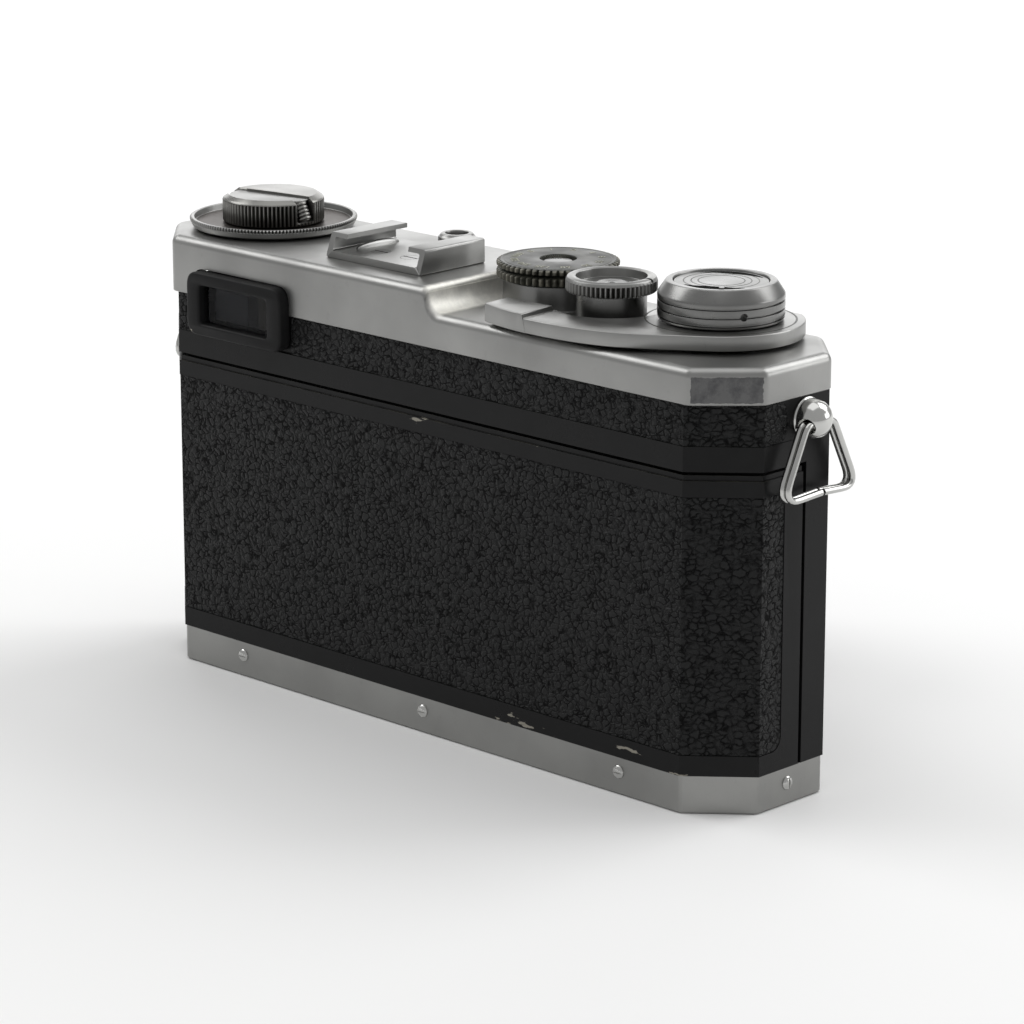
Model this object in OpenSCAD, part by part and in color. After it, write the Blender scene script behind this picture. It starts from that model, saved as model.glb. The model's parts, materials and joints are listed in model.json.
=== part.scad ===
// 35 mm rangefinder film camera with a removable back.
// +Z is up, the lens faces -Y, and the origin is where the tripod socket's axis meets the base.

/* [Body] */
// Width across the end walls
body_w = 136; // [134:0.5:138]
// Depth from front to back
body_d = 32.2; // [32:0.1:33]
// Corner chamfer, along the width
chamfer_x = 9.5; // [9:0.1:10]
// Corner chamfer, along the depth
chamfer_y = 8.3; // [8:0.1:8.6]
// Top of the base plate
base_top = 6.3; // [6:0.1:6.5]
// Top edge of the removable back
back_top = 55; // [54.5:0.1:55.3]
// Bottom and top of the black rim above the back
rim_bottom = 55.6; // [55.5:0.1:55.8]
rim_top = 59.6; // [59:0.1:60]
// Lower edge of the top cover
cover_bottom = 66.2; // [66:0.1:66.5]
// Lower deck, on the release side
deck_low = 72; // [71.8:0.1:72.1]
// Upper deck, on the finder side
deck_high = 76; // [75.8:0.1:76.1]

/* [Controls] */
// Rewind axis
rewind_axis = [52.75, -1.4];
// Advance lever, counter and take-up axis
advance_axis = [-48, -4.4];
// Release and sprocket axis
release_axis = [-29.3, 0.8];
// Speed dial axis
dial_axis = [-12.3, -4.7];
// Stroke of the advance lever, in degrees
lever_stroke = 135; // [120:1:150]
// Flutes on the rewind knob
rewind_flutes = 76; // [60:1:90]
// Scallops on each tier of the speed dial
dial_scallops = 54; // [40:1:60]
// Teeth on the release collar
collar_teeth = 56; // [40:1:60]

/* [Lens] */
// Height of the optical axis
lens_z = 34; // [33:0.5:35]
// Distance from the film to the lens flange
flange_distance = 34.85; // [34.8:0.01:34.9]
// Position of the film plane, from the body's middle
film_y = 8.75; // [8.7:0.01:8.8]

/* [Hidden] */
$fn = 96;

satin = "silver";
black = "#202020";
leather = "#2a2a2a";
chrome = "#d8d8d8";
steel = "#9a9a98";
brass = "#b79a52";
glass = "#556677";
cloth = "#1c1c20";

fit = 0.05;             // gap between pieces of one body
run = 0.08;             // radial clearance of a shaft in its hole
skin = 0.4;             // thickness of the leather
seam_y = -2.3;          // where the back meets the casting on the end walls
seam_gap = 0.7;         // groove left open between them
back_inset = 0.15;      // paint surface of the back, inside the cover's outline
leather_inset = 0.25;   // leather surface, inside the cover's outline
base_inset = 0.4;       // base plate, inside the cover's outline
cover_chamfer = 8.5;    // corner chamfer of the top cover, along the width
cover_wall = 1.3;
back_wall = 1.35;
edge_r = 1.4;           // rounding of the top cover's upper edges
roof_z = 57;            // underside of the casting's roof, over the film chambers
bay_z = 61;             // floor of the mechanism bay, under the top cover
bay_inset = 2.2;
floor_z = 8.3;          // top of the casting's floor
flange_y = film_y - flange_distance;
step_x = -2.2;          // wall between the two decks
lip_depth = 2.2;        // light trap below the rim
lug_y = -2;
lug_z = 62.7;
ring_z = 62;            // axis of the strap rings
ring_x = 70.2;
wire_r = 0.55;

// ---- outlines shared by the body parts ----

function corner_scale(t, cx, cy) = 1 + t * (norm([cx, cy]) - cx - cy) / (cx * cy);

// The body's outline, moved inwards by t.
function outline(t = 0, cx = chamfer_x, cy = chamfer_y) =
    let (k = corner_scale(t, cx, cy), x = body_w / 2 - t, y = body_d / 2 - t)
    [
        [x - k * cx, -y], [x, -y + k * cy], [x, y - k * cy], [x - k * cx, y],
        [-x + k * cx, y], [-x, y - k * cy], [-x, -y + k * cy], [-x + k * cx, -y]
    ];

module slab(t, z0, z1, cx = chamfer_x) {
    translate([0, 0, z0]) linear_extrude(z1 - z0) polygon(outline(t, cx));
}

module box(x, y, z) {
    translate([x[0], y[0], z[0]]) cube([x[1] - x[0], y[1] - y[0], z[1] - z[0]]);
}

// A cylinder on a vertical axis.
module post(axis, r, z0, z1) {
    translate([axis[0], axis[1], z0]) cylinder(h = z1 - z0, r = r);
}

// A cylinder on the optical axis, from y0 (front) to y1.
module barrel(r, y0, y1) {
    translate([0, y1, lens_z]) rotate([90, 0, 0]) cylinder(h = y1 - y0, r = r);
}

module rounded_rect(w, h, r) {
    square([w - 2 * r, h], center = true);
    square([w, h - 2 * r], center = true);
    for (i = [-1, 1], j = [-1, 1]) translate([i * (w / 2 - r), j * (h / 2 - r)]) circle(r, $fn = 48);
}

// A rounded rectangle in the XZ plane, extruded from y0 to y1.
module plate_xz(x, z, r, y0, y1) {
    translate([(x[0] + x[1]) / 2, y1, (z[0] + z[1]) / 2]) rotate([90, 0, 0])
        linear_extrude(y1 - y0) rounded_rect(x[1] - x[0], z[1] - z[0], r);
}

// A rounded rectangle in the YZ plane, extruded along X across the whole body.
module plate_yz(y, z, r) {
    translate([-body_w, (y[0] + y[1]) / 2, (z[0] + z[1]) / 2]) rotate([90, 0, 90])
        linear_extrude(2 * body_w) rounded_rect(y[1] - y[0], z[1] - z[0], r);
}

// A round edge of milled flutes: n teeth between radii r - depth and r.
function milled(n, r, depth, land = 0.3) = [
    for (i = [0:n - 1], s = [[-0.5 + land / 2, 0], [-land / 2, 1], [land / 2, 1], [0.5 - land / 2, 0]])
        let (a = 360 * (i + s[0]) / n, q = r - depth * (1 - s[1])) q * [cos(a), sin(a)]
];

module milled_ring(axis, n, r, depth, z0, z1) {
    translate([axis[0], axis[1], z0]) linear_extrude(z1 - z0) polygon(milled(n, r, depth));
}

// ---- body ----

// The chambers stop short of the rear rim, which closes them against light.
module chambers() {
    rear_y = body_d / 2 - back_inset - 2.65;
    // film cassette
    post(rewind_axis, 13, floor_z, roof_z);
    box([39.75, 65.75], [rewind_axis[1], rear_y], [floor_z, roof_z]);
    // take-up spool
    post(advance_axis, 10.2, floor_z, roof_z);
    box([advance_axis[0] - 10.2, advance_axis[0] + 10.2], [advance_axis[1], rear_y], [floor_z, roof_z]);
    // sprocket
    post(release_axis, 7.6, floor_z, roof_z);
    box([release_axis[0] - 7.6, release_axis[0] + 7.6], [release_axis[1], rear_y], [floor_z, roof_z]);
    // shutter
    box([-20.8, 35.5], [-14, 6.2], [floor_z, roof_z]);
    box([-31, 35.5], [-14, -7.4], [floor_z, roof_z]);
    // film gate's seat
    box([-20.8, 38.5], [6.1, rear_y], [10, roof_z - 1]);
}

module body_casting() color(black) {
    difference() {
        union() {
            slab(back_inset, rim_bottom, rim_top);
            slab(leather_inset, rim_top, cover_bottom - fit);
            intersection() {
                slab(back_inset, base_top, rim_bottom + fit);
                box([-body_w, body_w], [-body_d, seam_y], [0, deck_high]);
            }
            intersection() {
                slab(2.2, base_top, rim_bottom + fit);
                box([-body_w, body_w], [seam_y - 1, film_y - 0.55], [0, deck_high]);
            }
        }
        front_leather_shape(-1, leather_inset + skin + fit, fit);
        band_leather_shape(-1, leather_inset + skin + fit, fit);
        // seat of the eyepiece
        box([29.9, 54.5], [body_d / 2 - 0.7, body_d], [rim_top, deck_high]);
        box([33.5, 51.2], [10, body_d], [61.6, deck_high]);
        slab(bay_inset, bay_z, cover_bottom + 1);
        chambers();
        barrel(18, -body_d, -13);
        for (p = [advance_axis, release_axis]) {
            post(p, 2 + run, roof_z - 1, bay_z + 1);
            post(p, 2 + run, 0, floor_z + 1);
        }
        for (p = [drum_axis, roller_axis]) {
            post(p, 1 + run, roof_z - 1, bay_z + 1);
            post(p, 1 + run, 0, floor_z + 1);
        }
        post(rewind_axis, 2.4 + run, roof_z - 1, bay_z + 1);
    }
    // light trap: a lip inside the top of the back
    difference() {
        intersection() {
            slab(back_inset + 1.6, rim_bottom - lip_depth, rim_bottom + 0.1);
            box([-body_w, body_w], [seam_y + 2, body_d], [0, deck_high]);
        }
        slab(back_inset + 2.6, 0, deck_high);
    }
}

// The front leather, between two depths below the cover's outline, grown by g at its edges.
module front_leather_shape(t0, t1, g) {
    z = [9.7 - g, 65.8 + g];
    difference() {
        intersection() {
            slab(t0, z[0], z[1]);
            box([-body_w / 2 + 0.9 - g, body_w / 2 - 0.9 + g], [-body_d, -body_d / 2 + chamfer_y - 0.9 + g], z);
        }
        slab(t1, 0, deck_high);
        barrel(24.6 - g, -body_d, 0);
    }
}

module front_leatherette() color(leather) front_leather_shape(leather_inset, leather_inset + skin, 0);

// The leather round the band above the rim.
module band_leather_shape(t0, t1, g) {
    z = [rim_top + fit - g, cover_bottom - 0.1 + g];
    difference() {
        intersection() {
            slab(t0, z[0], z[1]);
            plate_yz([2.5 - g, 2 * body_d], z, 1.8);
        }
        slab(t1, 0, deck_high);
        box([29.9, 54.5], [10, body_d], [0, deck_high]);
    }
}

module leather_band() color(leather) band_leather_shape(leather_inset, leather_inset + skin, 0);

// ---- top cover ----

// A block with the body's outline and rounded upper edges, cut off at x = x0.
module rounded_block(z0, z1, x0) {
    steps = 5;
    hull() {
        for (i = [0:steps]) let (a = 90 * i / steps) intersection() {
            slab(edge_r * (1 - cos(a)), z0, z1 - edge_r * (1 - sin(a)), cover_chamfer);
            box([x0, body_w], [-body_d, body_d], [z0, z1]);
        }
    }
}

module top_cover() color(satin) difference() {
    union() {
        rounded_block(cover_bottom, deck_low, -body_w);
        rounded_block(cover_bottom, deck_high, step_x);
        // concave foot of the step
        difference() {
            box([step_x - 1.9, step_x + 0.1], [-body_d / 2 + 1.5, body_d / 2 - 1.5], [deck_low - 1, deck_low + 1.9]);
            translate([step_x - 1.9, -body_d, deck_low + 1.9]) rotate([-90, 0, 0])
                cylinder(h = 2 * body_d, r = 1.9);
        }
    }
    slab(cover_wall, cover_bottom - 1, deck_low - cover_wall, cover_chamfer);
    intersection() {
        slab(cover_wall, cover_bottom - 1, deck_high - cover_wall, cover_chamfer);
        box([step_x + cover_wall, body_w], [-body_d, body_d], [0, deck_high]);
    }
    // eyepiece cut-out, open at the lower edge
    plate_xz([29.9, 54.5], [cover_bottom - 6, 71.4], 2.9, 10, body_d);
    for (w = front_windows) plate_xz(w[0] + [-fit, fit], w[1] + [-fit, fit], 1.2, -body_d, -10);
    post(advance_axis, 5, deck_low - 5, deck_low + 1);
    post(release_axis, 2 + run, deck_low - 5, deck_low + 1);
    post(dial_axis, 2.5 + run, deck_low - 5, deck_low + 1);
    post(rewind_axis, 2.4 + run, deck_high - 5, deck_high + 1);
    for (x = cover_screw_x) translate([x, 0, cover_screw_z]) rotate([90, 0, 0]) cylinder(h = body_d, r = 0.8);
}

cover_screw_x = [-56, -24, 20];
cover_screw_z = 69.2;

module cover_screws() color(chrome) for (x = cover_screw_x)
    translate([x, -body_d / 2, cover_screw_z]) rotate([90, 0, 0]) difference() {
        union() {
            cylinder(h = 0.45, r = 1.5);
            translate([0, 0, -cover_wall]) cylinder(h = cover_wall + 0.1, r = 0.8 - fit);
        }
        translate([0, 0, 0.45]) cube([4, 0.35, 0.4], center = true);
    }

// ---- finder ----

front_windows = [[[30, 49], [67.2, 74.4]], [[-1, 6], [67.6, 73.4]]];
eye_x = [30.4, 54];
eye_z = [59.9, 70.9];
eye_open_x = [33.9, 50.9];
eye_open_z = [62, 68.7];

module eyepiece_frame() color(black) difference() {
    plate_xz(eye_x, eye_z, 2.4, body_d / 2 - 0.65, body_d / 2 + 1.9);
    plate_xz(eye_open_x, eye_open_z, 0.6, 0, body_d);
    plate_xz(eye_open_x + [-0.5, 0.5], eye_open_z + [-0.5, 0.5], 0.6, 0, body_d / 2 + 0.6);
}

module eyepiece_glass() color(glass)
    plate_xz(eye_open_x + [-0.45, 0.45], eye_open_z + [-0.45, 0.45], 0.5, body_d / 2 - 0.4, body_d / 2 + 0.55);

module window_frames() color(black) for (w = front_windows) difference() {
    plate_xz(w[0], w[1], 1.1, -body_d / 2 - 0.5, -body_d / 2 + 1);
    plate_xz(w[0] + [0.9, -0.9], w[1] + [0.9, -0.9], 0.5, -body_d, 0);
}

module window_glasses() color(glass) for (w = front_windows)
    plate_xz(w[0] + [0.95, -0.95], w[1] + [0.95, -0.95], 0.4, -body_d / 2 - 0.1, -body_d / 2 + 0.9);

module finder_block() color(glass) difference() {
    box([31.5, 49.2], [-12.6, 13.2], [bay_z + 0.6, 73.5]);
    // relief for the eyepiece end, under the cover's lower edge
    box([31, 50], [12.2, 14], [68.9, 74]);
}

module rangefinder_prism() color(glass) translate([-1.4, -12.6, bay_z + 1])
    linear_extrude(8.2) polygon([[0, 0], [7.6, 0], [7.6, 7.6]]);

// ---- accessory shoe ----

shoe_x = [4.6, 27];
shoe_y = [-4.8, 10.3];
shoe_plate = 1.3;
rail_w = 1.85;
rail_top = 80.2;
lip_w = 2.2;
lip_t = 0.9;

module rail(side) {
    x0 = side > 0 ? shoe_x[1] - rail_w : shoe_x[0];
    lip = side > 0 ? [shoe_x[1] - rail_w - lip_w, shoe_x[1]] : [shoe_x[0], shoe_x[0] + rail_w + lip_w];
    difference() {
        union() {
            box([x0, x0 + rail_w], [shoe_y[0], shoe_y[1] - 0.8], [deck_high, rail_top]);
            box(lip, [shoe_y[0], shoe_y[1] - 0.8], [rail_top - lip_t, rail_top]);
        }
        // the back end leans forwards
        translate([shoe_x[0] - 1, shoe_y[1] - 0.8, deck_high + 1.5]) rotate([22, 0, 0]) cube([30, 5, 8]);
    }
}

module accessory_shoe() color(satin) difference() {
    union() {
        box(shoe_x, shoe_y, [deck_high, deck_high + shoe_plate]);
        rail(-1);
        rail(1);
    }
    for (p = shoe_screw_places) {
        post(p, 0.9, deck_high - 1, deck_high + 3);
        post(p, 1.7, deck_high + 0.8, deck_high + 3);
    }
}

shoe_screw_places = [[12.3, 5], [19.3, 5], [15.8, -2.5]];

module shoe_screws() color(chrome) for (p = shoe_screw_places) difference() {
    union() {
        post(p, 0.9 - fit, deck_high + fit, deck_high + 0.9);
        post(p, 1.7 - fit, deck_high + 0.8 + fit, deck_high + shoe_plate - 0.05);
    }
    translate([p[0], p[1], deck_high + shoe_plate]) cube([4, 0.35, 0.6], center = true);
}

// Two raised leaves beside the rails, joined across the front.
module shoe_spring() color(chrome) {
    z = deck_high + shoe_plate;
    box([shoe_x[0] + 2.4, shoe_x[1] - 2.4], [shoe_y[0] + 0.3, shoe_y[0] + 1.5], [z, z + 0.25]);
    for (x = [shoe_x[0] + 2.4, shoe_x[1] - 4.2]) translate([x, 0, z]) rotate([90, 0, 90])
        linear_extrude(1.8) polygon([
            [shoe_y[0] + 1.4, 0], [7.2, 0], [7.2, 0.25], [6, 0.3], [2.5, 1], [-1.5, 0.25], [shoe_y[0] + 1.4, 0.25]
        ]);
}

// Round collar beside the shoe.
module collar_screw() color(chrome) translate([17.6, -11.2, deck_high]) difference() {
    union() {
        cylinder(h = 2.4, r = 2.8);
        cylinder(h = 0.4, r = 3.2);
    }
    translate([0, 0, 1.5]) cylinder(h = 2, r = 1.9);
    for (a = [0, 90]) rotate(a) translate([0, 0, 2.4]) cube([8, 0.7, 0.6], center = true);
}

// ---- strap lugs and rings ----

module strap_lugs() color(chrome) for (s = [-1, 1]) difference() {
    union() {
        translate([s * (body_w / 2 - 0.4), lug_y, lug_z]) rotate([0, s * 90, 0]) cylinder(h = 0.9, r = 3.3);
        translate([s * (body_w / 2 + 1.3), lug_y, lug_z]) rotate([90, 0, 0])
            cylinder(h = 3.1, r = 3.1, center = true);
    }
    translate([s * ring_x, lug_y, ring_z]) rotate([90, 0, 0]) cylinder(h = 10, r = 1.35, center = true);
    // the back of the lug sits on the casting
    box([-body_w / 2 + 0.2, body_w / 2 - 0.2], [-body_d, body_d], [0, deck_high]);
}

function unit(v) = v / norm(v);

// The outline d outside a closed centreline through the points p, whose corners have radii q.
function loop_points(p, q, d) = let (n = len(p)) [
    for (i = [0:n - 1]) let (
        u = unit(p[(i + n - 1) % n] - p[i]),
        v = unit(p[(i + 1) % n] - p[i]),
        half = acos(u * v) / 2,
        centre = p[i] + unit(u + v) * q[i] / sin(half),
        first = atan2(u[0], -u[1]),
        turn = 180 - 2 * half
    ) for (k = [0:8]) centre + (q[i] + d) * [cos(first + turn * k / 8), sin(first + turn * k / 8)]
];

module strap_ring(s) {
    corners = [[3.2, 0.4], [-3.2, 0.4], [-9.2, -11.3], [8.6, -11.3]];
    radii = [1.2, 1.2, 1.7, 1.7];
    color(chrome) translate([s * ring_x, lug_y, ring_z]) rotate([90, 0, 90])
        for (k = [-1, 1], c = [[1, 0.4], [0.75, 0.75], [0.4, 1]])
            translate([0, 0, k * wire_r * 1.02 - wire_r * c[1]])
                linear_extrude(2 * wire_r * c[1]) difference() {
                    polygon(loop_points(corners, radii, wire_r * c[0]));
                    polygon(loop_points(corners, radii, -wire_r * c[0]));
                }
}

module strap_ring_right() strap_ring(-1);
module strap_ring_left() strap_ring(1);

// ---- film path and shutter ----

gate_x = [-20.6, 38.3];
gate_z = [10.2, roof_z - 1.2];

module film_gate() color(black) difference() {
    union() {
        box(gate_x, [6.2, film_y - 0.55], gate_z);
        for (z = [lens_z - 18.2, lens_z - 13.6, lens_z + 12.6, lens_z + 17.2])
            box(gate_x, [film_y - 0.6, film_y], [z, z + 1]);
    }
    box([-18, 18], [0, body_d], [lens_z - 12, lens_z + 12]);
}

drum_axis = [-26, -11.1];
drum_r = 2.75;
roller_axis = [32.2, 1.3];
roller_r = 2.6;
curtain_y = 4.3;
curtain_x = -20.3;
curtain_t = 0.3;

// The closed curtain: across the gate, forwards at the sprocket's side, and on to the drum.
module shutter_curtain() color(cloth) {
    z = [lens_z - 15, lens_z + 15];
    y0 = drum_axis[1] + drum_r + 0.2;
    box([curtain_x, roller_axis[0]], [curtain_y, curtain_y + curtain_t], z);
    box([curtain_x, curtain_x + curtain_t], [y0, curtain_y + curtain_t], z);
    box([drum_axis[0], curtain_x + curtain_t], [y0, y0 + curtain_t], z);
}

// A roller on a thin shaft that turns in the casting's floor and roof.
module roller(axis, r) {
    post(axis, r, floor_z + 0.6, roof_z - 0.6);
    post(axis, 1, base_top + 0.3, bay_z - 0.2);
}

module curtain_drum() color(steel) roller(drum_axis, drum_r);
module spring_roller() color(steel) roller(roller_axis, roller_r);

// ---- gear train ----

plate_z = [62.9, 63.9];
low_gear_z = [61.2, 62.6];
high_gear_z = [64.2, 65.8];
wind_teeth = 32;
idler_teeth = 14;
pinion_teeth = 12;
sprocket_teeth = 36;
takeup_teeth = 28;
high_module = 0.55;
axis_gap = norm(release_axis - advance_axis);
low_module = 2 * axis_gap / (sprocket_teeth + takeup_teeth);
wind_r = high_module * wind_teeth / 2;
idler_r = high_module * idler_teeth / 2;
pinion_r = high_module * pinion_teeth / 2;

// The idler touches the wind gear and the pinion.
to_release = atan2(release_axis[1] - advance_axis[1], release_axis[0] - advance_axis[0]);
idler_bend = acos((pow(wind_r + idler_r, 2) + pow(axis_gap, 2) - pow(idler_r + pinion_r, 2))
    / (2 * (wind_r + idler_r) * axis_gap));
to_idler = to_release - idler_bend;
idler_axis = advance_axis + (wind_r + idler_r) * [cos(to_idler), sin(to_idler)];
idler_to_pinion = atan2(release_axis[1] - idler_axis[1], release_axis[0] - idler_axis[0]);

// Phase that puts gear b, with nb teeth, in mesh with gear a at direction d from a to b.
function mesh_phase(na, phase_a, d, nb) = d + 180 - (0.5 - (d - phase_a) * na / 360) * 360 / nb;

idler_phase = mesh_phase(wind_teeth, 0, to_idler, idler_teeth);
pinion_phase = mesh_phase(idler_teeth, idler_phase, idler_to_pinion, pinion_teeth);
takeup_phase = mesh_phase(sprocket_teeth, 0, to_release + 180, takeup_teeth);

// Tooth corners: offset from the tooth's middle in pitches, and radius in modules.
tooth_shape = [[-0.3, -1.15], [-0.19, 0], [-0.08, 0.8], [0.08, 0.8], [0.19, 0], [0.3, -1.15]];

function gear_points(n, m, phase) = [
    for (i = [0:n - 1], t = tooth_shape)
        let (a = phase + 360 * (i + t[0]) / n, q = m * (n / 2 + t[1])) q * [cos(a), sin(a)]
];

module gear(axis, n, m, phase, z, bore) {
    translate([axis[0], axis[1], z[0]]) difference() {
        linear_extrude(z[1] - z[0]) polygon(gear_points(n, m, phase));
        translate([0, 0, -1]) cylinder(h = z[1] - z[0] + 2, r = bore);
    }
}

module mechanism_plate() color(steel) {
    difference() {
        intersection() {
            slab(bay_inset + 0.1, plate_z[0], plate_z[1]);
            box([-body_w, -13], [-body_d, body_d], plate_z);
        }
        post(release_axis, 2.9, plate_z[0] - 1, plate_z[1] + 1);
    }
    for (p = [[-62, 0], [-46, 10.5], [-15, -11], [-15, 11]]) post(p, 1.2, bay_z, plate_z[0] + 0.1);
    // hollow post of the lever and its counter
    post(advance_axis, 3, plate_z[1] - 0.1, housing_z);
    post(idler_axis, 0.9, plate_z[1] - 0.1, high_gear_z[1] + 0.4);
}

module wind_gear() color(brass) union() {
    gear(advance_axis, wind_teeth, high_module, 0, high_gear_z, 3 + run);
    difference() {
        post(advance_axis, 4.6, high_gear_z[1] - 0.1, lever_z[0]);
        post(advance_axis, 3 + run, 0, lever_z[0] + 1);
    }
}

module idler_gear() color(brass)
    gear(idler_axis, idler_teeth, high_module, idler_phase, high_gear_z, 0.9 + run);

module sprocket_gear() color(brass) {
    gear(release_axis, sprocket_teeth, low_module, 0, low_gear_z, 1.5);
    gear(release_axis, pinion_teeth, high_module, pinion_phase, high_gear_z, 1.5);
    difference() {
        post(release_axis, 2.4, low_gear_z[1] - 0.1, high_gear_z[0] + 0.1);
        post(release_axis, 1.5, 0, deck_high);
    }
}

module takeup_gear() color(brass)
    gear(advance_axis, takeup_teeth, low_module, takeup_phase, low_gear_z, 1.5);

sprocket_r = 6.05;

module sprocket() color(steel) {
    post(release_axis, 4.4, floor_z + 0.5, roof_z - 0.5);
    post(release_axis, 2, base_top + 0.3, bay_z + 0.1);
    post(release_axis, 1.5 - fit, bay_z, high_gear_z[1]);
    for (z = [lens_z - 14.2, lens_z + 14.2]) {
        post(release_axis, sprocket_r, z - 1.7, z + 1.7);
        translate([release_axis[0], release_axis[1], z - 0.9]) linear_extrude(1.8)
            polygon(milled(8, sprocket_r + 1.1, 1.5, 0.55));
    }
}

module takeup_spool() color(black) difference() {
    union() {
        post(advance_axis, 6, floor_z + 0.5, roof_z - 0.5);
        for (z = [lens_z - 19.6, lens_z + 18.2]) post(advance_axis, 9.6, z, z + 1.4);
        post(advance_axis, 2, base_top + 0.3, bay_z + 0.1);
        post(advance_axis, 1.5 - fit, bay_z, low_gear_z[1]);
    }
    // slot that takes the film's tongue
    box([advance_axis[0] - 0.6, advance_axis[0] + 0.6], [advance_axis[1] - 8, advance_axis[1] + 8],
        [lens_z - 16, lens_z + 16]);
}

// ---- advance lever and counter ----

lever_z = [72.5, 74.9];
pad_top = 75.5;
pad_x = -26.2;
tip_x = -15.3;
lever_disc_r = 13.35;
release_relief = 9.4;
sweep_r = 45;           // long curve of the lever's back edge
sweep_centre = [-28, -27.5];
lever_front = 15.6;

module lever_outline() {
    difference() {
        union() {
            translate(advance_axis) circle(lever_disc_r);
            intersection() {
                translate(sweep_centre) circle(sweep_r, $fn = 240);
                polygon([
                    advance_axis, [-60, 3], [-60, 20], [tip_x - 0.8, 20], [tip_x, 15], [tip_x, 10.4], [pad_x, 8.6]
                ]);
            }
        }
        translate(release_axis) circle(release_relief);
        // the front is cut flush with the cover
        translate([-body_w, -body_d - lever_front]) square([2 * body_w, body_d]);
    }
}

module advance_lever() color(satin) difference() {
    union() {
        translate([0, 0, lever_z[0]]) linear_extrude(lever_z[1] - lever_z[0]) lever_outline();
        translate([0, 0, lever_z[0]]) linear_extrude(pad_top - lever_z[0]) intersection() {
            lever_outline();
            translate([pad_x, 0]) square(40);
        }
    }
    post(advance_axis, 3 + run, 0, deck_high);
    // ramp at the inner end of the thumb pad
    translate([pad_x, 0, lever_z[1]]) rotate([0, -35, 0]) translate([-3, 0, 0]) cube([3, 30, 3]);
    // engraved circle
    difference() {
        post(advance_axis, 12, lever_z[1] - 0.2, deck_high);
        post(advance_axis, 11.7, 0, deck_high + 1);
    }
}

housing_z = 75.1;
housing_r = 10.1;
housing_top = 81.2;
counter_r = 7.5;

module counter_housing() color(satin) translate([advance_axis[0], advance_axis[1], 0]) difference() {
    rotate_extrude() polygon([
        [0, housing_z], [housing_r - 0.3, housing_z],
        for (z = [75.7, 76.95, 78.3]) each [
            [housing_r, z - 0.25], [housing_r - 0.45, z - 0.12], [housing_r - 0.45, z + 0.12], [housing_r, z + 0.25]
        ],
        [housing_r, 79], [8.9, housing_top - 0.2], [8.6, housing_top], [0, housing_top]
    ]);
    translate([0, 0, 79.5]) cylinder(h = 3, r = counter_r + fit);
    // side hole for the setting key
    translate([-housing_r, 0.4, 76.3]) rotate([0, 90, 0]) cylinder(h = 3, r = 0.6);
}

module counter_disc() color(black) translate([advance_axis[0], advance_axis[1], 79.6]) difference() {
    cylinder(h = 0.5, r = counter_r - 0.2);
    translate([0, 0, -1]) cylinder(h = 3, r = 1 + run);
}

// A crescent between two circles.
module crescent(r_in, r_out, shift) {
    difference() {
        circle(r_out);
        translate(shift) circle(r_in);
    }
}

module counter_cover() color(satin) translate([advance_axis[0], advance_axis[1], 0]) {
    translate([0, 0, 80.3]) linear_extrude(0.6) difference() {
        circle(counter_r);
        for (a = [60, 240]) rotate(a) intersection() {
            crescent(5.2, 6.6, [-0.9, 0]);
            translate([0, -4]) square([8, 8]);
        }
    }
    translate([0, 0, 79.5]) cylinder(h = 0.9, r = 1);
}

module counter_pin() color(chrome) rotate(0) translate([advance_axis[0], advance_axis[1], 0])
    translate([-4.6, 5.2, 80.9]) cylinder(h = 0.45, r = 0.45);

// ---- speed dial ----

dial_r = 10.1;
slow_z = [76.3, 77.9];
fast_z = [78.2, 79.2];

module dial_base() color(satin) difference() {
    post(dial_axis, 9.2, deck_low, slow_z[0] - 0.1);
    post(dial_axis, 2.5 + run, 0, deck_high + 5);
}

module slow_speed_dial() color(black) difference() {
    union() {
        milled_ring(dial_axis, dial_scallops, dial_r, 0.6, slow_z[0], slow_z[1]);
        post(dial_axis, 9, slow_z[0], slow_z[1] + 0.2);
    }
    post(dial_axis, 2.5 + run, 0, deck_high + 5);
}

module fast_speed_dial() color(black) difference() {
    union() {
        milled_ring(dial_axis, dial_scallops, dial_r, 0.6, fast_z[0], fast_z[1] - 0.2);
        post(dial_axis, 9.2, fast_z[0], fast_z[1]);
        post(dial_axis, 2.5, deck_low - 3, fast_z[0] + 0.1);
    }
    post(dial_axis, 2.7, fast_z[1] - 0.7, fast_z[1] + 1);
}

module dial_screw() color(chrome) difference() {
    post(dial_axis, 2.4, fast_z[1] - 0.7, fast_z[1] - 0.2);
    translate([dial_axis[0], dial_axis[1], fast_z[1] - 0.2]) cube([6, 0.5, 0.5], center = true);
}

// ---- release ----

guard_r = 5.7;
guard_top = 77.3;
collar_z = [77.4, 79.7];
collar_r = 7.4;
button_r = 2.8;

module release_guard() color(satin) difference() {
    post(release_axis, guard_r, deck_low, guard_top);
    post(release_axis, button_r + run, deck_low + 1.5, guard_top + 1);
    post(release_axis, 2 + run, 0, guard_top);
    translate([release_axis[0] - 2, release_axis[1] + guard_r, 74.2]) rotate([90, 0, 0])
        cylinder(h = 2, r = 0.5, center = true);
}

module release_collar() color(satin) difference() {
    union() {
        milled_ring(release_axis, collar_teeth, collar_r, 0.3, collar_z[0] + 0.3, collar_z[1] - 0.4);
        post(release_axis, collar_r - 0.3, collar_z[0], collar_z[1]);
    }
    post(release_axis, 5.7, collar_z[0] + 0.9, collar_z[1] + 1);
    post(release_axis, button_r + 0.3, 0, collar_z[1] + 1);
    // index notch
    rotate(0) translate([release_axis[0] - collar_r, release_axis[1] - 2.5, collar_z[1]])
        cube([2, 0.8, 0.8], center = true);
}

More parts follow.
